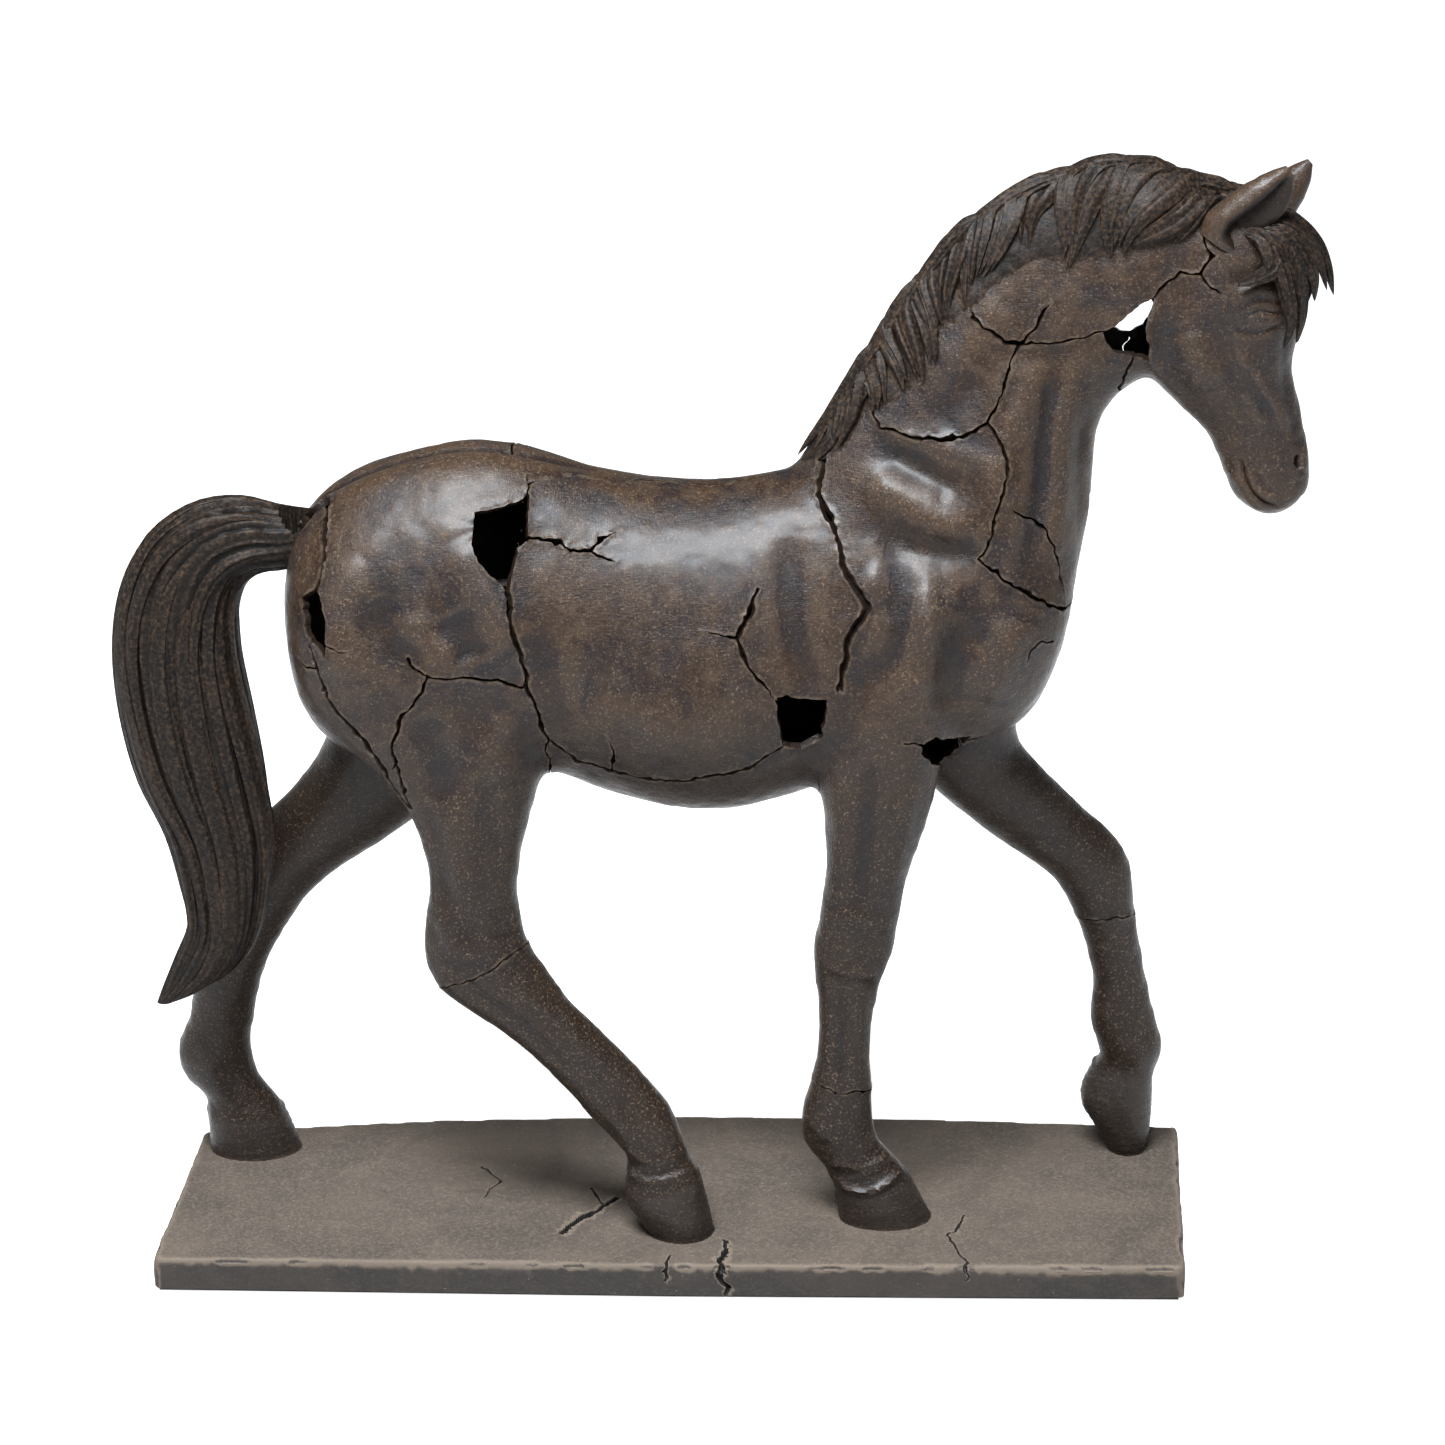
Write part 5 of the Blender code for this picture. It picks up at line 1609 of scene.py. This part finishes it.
def patina():
    """Blue-black bronze with brown clouds, dry-brushed tan on what stands out, and painted shade towards the
    bottom.
    """
    n = Nodes("bronze_patina", 0.42, 0.0)
    clouds = n.ramp(n.noise(34, 4, 0.6, warp=0.6), 0.42, 0.6)
    drift = n.ramp(n.noise(75, 5, 0.65), 0.35, 0.68)
    grain = n.noise(620, 4, 0.7)
    fleck = n.ramp(n.noise(1100, 3, 0.7), 0.54, 0.72)
    scratch_a = n.noise(420, 3, 0.6, stretch=(1, 1, 5), warp=0.4)
    scratch_b = n.noise(420, 3, 0.6, stretch=(5, 1, 1), warp=0.4)
    raised = n.ramp(n.attribute("relief"), -1.2, 1.6, 0.25, 0.8)
    ridge = n.ramp(n.attribute("fine"), -0.02, 0.1)
    base = n.mix(clouds, rgb(16, 18, 24), rgb(30, 20, 14))
    base = n.mix(n.times(drift, 0.5), base, rgb(43, 28, 18))
    cover = n.math("ADD", n.times(raised, 0.4), n.times(drift, 0.1))
    brushed = n.times(n.ramp(grain, 0.42, 0.66), cover)
    brushed = n.times(brushed, n.ramp(clouds, 0.0, 1.0, 0.5, 1.15))
    base = n.mix(brushed, base, rgb(84, 65, 49))
    place = n.add("ShaderNodeSeparateXYZ")
    n.put(place.inputs["Vector"], n.coords)
    base = n.mix(n.times(ridge, 0.16), base, rgb(98, 80, 63))
    # Darkens the whole colour, and more towards the bottom: the extra dark below about 0.26 m is painted shade
    # on the lower legs.
    base = n.mix(n.ramp(place.outputs["Z"], 0.26, 0.15, 0.46, 0.86), base, rgb(17, 10, 6))
    base = n.mix(n.times(fleck, n.times(raised, 0.42)), base, rgb(136, 114, 92))
    base = n.mix(n.ramp(n.attribute("fine"), -0.05, -0.4, 0.0, 0.4), base, rgb(16, 14, 13))
    base = n.mix(n.times(n.attribute("hoof"), 0.5), base, rgb(38, 33, 30))
    lip = n.ramp(n.attribute("lip"), 0.25, 0.9)
    chipped = n.times(lip, n.ramp(n.noise(260, 2), 0.4, 0.6, 0.0, 0.3))
    base = n.mix(chipped, base, rgb(84, 71, 58))
    base = n.mix(n.ramp(n.attribute("inner"), 0.0, 0.35), base, rgb(22, 16, 12))
    n.put(n.shader.inputs["Base Color"], base)
    rough = n.ramp(n.noise(190, 4, 0.7), 0.3, 0.7, 0.26, 0.42)
    n.put(n.shader.inputs["Roughness"], n.math("ADD", rough, n.times(brushed, 0.1)))
    n.shader.inputs["Specular IOR Level"].default_value = 0.12
    n.shader.inputs["Coat Weight"].default_value = 0.12
    n.shader.inputs["Coat Roughness"].default_value = 0.27
    first = n.bump(n.noise(150, 4, 0.6), 0.0011, 0.35)
    second = n.bump(n.math("ADD", scratch_a, scratch_b), 0.0005, 0.55, first)
    third = n.bump(grain, 0.0004, 0.55, second)
    n.put(n.shader.inputs["Normal"], third)
    return n.material


def hair_patina():
    """Browner bronze for the hair, with painted shade between strands."""
    n = Nodes("bronze_hair", 0.5, 0.0)
    clouds = n.ramp(n.noise(55, 4, 0.6, warp=0.5), 0.4, 0.62)
    grain = n.noise(700, 4, 0.7)
    base = n.mix(clouds, rgb(14, 11, 10), rgb(28, 19, 14))
    # Painted shade: where the surface is hollow between strands and locks, the colour goes to near black.
    hollow = n.ramp(n.add("ShaderNodeNewGeometry").outputs["Pointiness"], 0.46, 0.56)
    base = n.mix(n.times(hollow, 0.6), rgb(8, 7, 6), base)
    brushed = n.times(n.ramp(grain, 0.42, 0.66), n.times(hollow, 0.35))
    base = n.mix(brushed, base, rgb(80, 63, 49))
    n.put(n.shader.inputs["Base Color"], base)
    n.put(n.shader.inputs["Roughness"], n.ramp(n.noise(190, 4, 0.7), 0.3, 0.7, 0.42, 0.62))
    n.shader.inputs["Specular IOR Level"].default_value = 0.1
    first = n.bump(n.noise(300, 4, 0.6), 0.0007, 0.5)
    n.put(n.shader.inputs["Normal"], n.bump(grain, 0.0004, 0.6, first))
    return n.material


def plinth_patina():
    """Dusty matte brown-grey with pale specks, a painted lighter top, and painted shade on the sides and in the
    cracks.
    """
    n = Nodes("plinth_patina", 0.78, 0.0)
    clouds = n.ramp(n.noise(22, 5, 0.65, warp=0.8), 0.35, 0.66)
    streaks = n.ramp(n.noise(30, 4, 0.6, stretch=(0.5, 3, 3)), 0.35, 0.7)
    grain = n.noise(800, 4, 0.75)
    speck = n.ramp(n.cells(330), 0.09, 0.03)
    up = n.add("ShaderNodeNewGeometry").outputs["Normal"]
    split = n.add("ShaderNodeSeparateXYZ")
    n.put(split.inputs["Vector"], up)
    # Painted light and shade: the top gets a lighter copy of the colour and the sides get a darker copy, chosen
    # by which way the surface faces.
    top = n.ramp(split.outputs["Z"], 0.6, 0.95)
    top_colour_painted_lit = n.mix(clouds, rgb(55, 48, 42), rgb(69, 60, 52))
    top_colour_painted_lit = n.mix(n.times(streaks, 0.4), top_colour_painted_lit, rgb(56, 50, 45))
    side_colour_painted_shade = n.mix(clouds, rgb(24, 21, 19), rgb(36, 30, 26))
    base = n.mix(top, side_colour_painted_shade, top_colour_painted_lit)
    dusted = n.times(n.ramp(grain, 0.45, 0.68, 0.0, 0.4), n.ramp(top, 0.0, 1.0, 0.3, 1.0))
    base = n.mix(dusted, base, rgb(104, 92, 80))
    specked = n.times(speck, n.ramp(n.noise(60, 2), 0.5, 0.62, 0.0, 0.55))
    base = n.mix(specked, base, rgb(172, 160, 146))
    edge = n.ramp(n.attribute("fine"), 0.04, 0.2, 0.0, 0.35)
    base = n.mix(edge, base, rgb(112, 98, 84))
    # Painted shade in the cracks: the colour goes near black where they sink deepest.
    base = n.mix(n.ramp(n.attribute("crack"), 0.1, 0.6), base, rgb(14, 12, 11))
    base = n.mix(n.attribute("inner"), base, rgb(12, 11, 10))
    n.put(n.shader.inputs["Base Color"], base)
    n.put(n.shader.inputs["Roughness"], n.ramp(grain, 0.3, 0.7, 0.66, 0.86))
    n.shader.inputs["Specular IOR Level"].default_value = 0.3
    first = n.bump(n.noise(190, 5, 0.7), 0.001, 0.5)
    n.put(n.shader.inputs["Normal"], n.bump(grain, 0.0005, 0.7, first))
    return n.material


def steel():
    """Dull rod steel, darkened by age."""
    n = Nodes("rod_steel", 0.5, 0.85)
    stain = n.ramp(n.noise(90, 4, 0.6), 0.35, 0.65)
    n.put(n.shader.inputs["Base Color"], n.mix(stain, rgb(38, 36, 35), rgb(66, 60, 56)))
    n.put(n.shader.inputs["Roughness"], n.ramp(n.noise(300, 3), 0.3, 0.7, 0.42, 0.7))
    n.put(n.shader.inputs["Normal"], n.bump(n.noise(900, 2, 0.6, stretch=(6, 6, 1)), 0.0002, 0.4))
    return n.material


def felt():
    """Black pressed felt under the plinth."""
    n = Nodes("felt_black", 0.95, 0.0)
    fibre = n.noise(1800, 3, 0.7, warp=1.5)
    n.put(n.shader.inputs["Base Color"], n.mix(fibre, rgb(16, 16, 17), rgb(44, 43, 43)))
    n.shader.inputs["Sheen Weight"].default_value = 0.3
    n.shader.inputs["Sheen Roughness"].default_value = 0.5
    n.put(n.shader.inputs["Normal"], n.bump(fibre, 0.0005, 0.8))
    return n.material


def dress_nodes():
    """Materials of the CAD nodes that stay in view."""
    metal, cloth = steel(), felt()
    for name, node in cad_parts.items():
        if name.endswith(("_rod", "_nut", "_washer")):
            material = metal
        elif name == "felt_sheet":
            material = cloth
        else:
            continue
        node.data.materials.clear()
        node.data.materials.append(material)


# ---------------------------------------------------------------- camera, floor and light


CAMERA_TARGET = Vector((0.020, 0.0, 0.210))
CAMERA_TURN = math.radians(1.0)
CAMERA_TILT = math.radians(21.0)
CAMERA_REACH = 1.566
SENSOR = 36.0
LENS = 104.637


def make_camera():
    back = Vector(
        (
            math.sin(CAMERA_TURN) * math.cos(CAMERA_TILT),
            -math.cos(CAMERA_TURN) * math.cos(CAMERA_TILT),
            math.sin(CAMERA_TILT),
        )
    )
    data = bpy.data.cameras.new("camera")
    data.sensor_width = SENSOR
    data.lens = LENS
    camera = bpy.data.objects.new("camera", data)
    camera.location = CAMERA_TARGET + back * CAMERA_REACH
    camera.rotation_euler = (-back).to_track_quat("-Z", "Y").to_euler()
    bpy.context.scene.collection.objects.link(camera)
    bpy.context.scene.camera = camera


def make_floor():
    mesh = bpy.data.meshes.new("floor")
    shaped = bmesh.new()
    bmesh.ops.create_grid(shaped, x_segments=1, y_segments=1, size=6.0)
    shaped.to_mesh(mesh)
    shaped.free()
    floor = bpy.data.objects.new("floor", mesh)
    bpy.context.scene.collection.objects.link(floor)
    n = Nodes("floor_white", 0.9)
    pale = n.mix(n.noise(3, 2), (0.42, 0.42, 0.42, 1), (0.46, 0.46, 0.46, 1))
    n.put(n.shader.inputs["Base Color"], pale)
    n.shader.inputs["Emission Color"].default_value = (1, 1, 1, 1)
    n.shader.inputs["Emission Strength"].default_value = 0.93
    mesh.materials.append(n.material)


def area_light(name, place, target, width, height, power, colour=(1, 1, 1)):
    data = bpy.data.lights.new(name, "AREA")
    data.shape = "RECTANGLE"
    data.size = width
    data.size_y = height
    data.energy = power
    data.color = colour
    light = bpy.data.objects.new(name, data)
    light.location = place
    light.rotation_euler = (Vector(target) - Vector(place)).to_track_quat("-Z", "Y").to_euler()
    bpy.context.scene.collection.objects.link(light)


def make_light():
    area_light("top", (-0.15, -0.62, 1.42), (0, 0, 0.25), 0.8, 0.45, 98, (0.88, 0.94, 1.0))
    area_light("front", (0.6, -2.2, 0.9), (0, 0, 0.2), 1.4, 1.0, 6, (1.0, 0.98, 0.95))
    area_light("side", (-1.8, -0.6, 0.8), (0, 0, 0.25), 0.9, 0.9, 5)
    world = bpy.data.worlds.new("studio")
    bpy.context.scene.world = world
    world.use_nodes = True
    background = world.node_tree.nodes["Background"]
    background.inputs["Color"].default_value = (1, 1, 1, 1)
    background.inputs["Strength"].default_value = 0.15
    bpy.context.scene.view_settings.view_transform = "Standard"


def main():
    make_camera()
    bronze = patina()
    hair = hair_patina()
    skin = make_horse(bronze)
    make_mane(skin, hair)
    make_forelock(hair)
    make_tail(hair)
    make_ears(bronze)
    make_plinth(plinth_patina())
    dress_nodes()
    make_floor()
    make_light()


main()
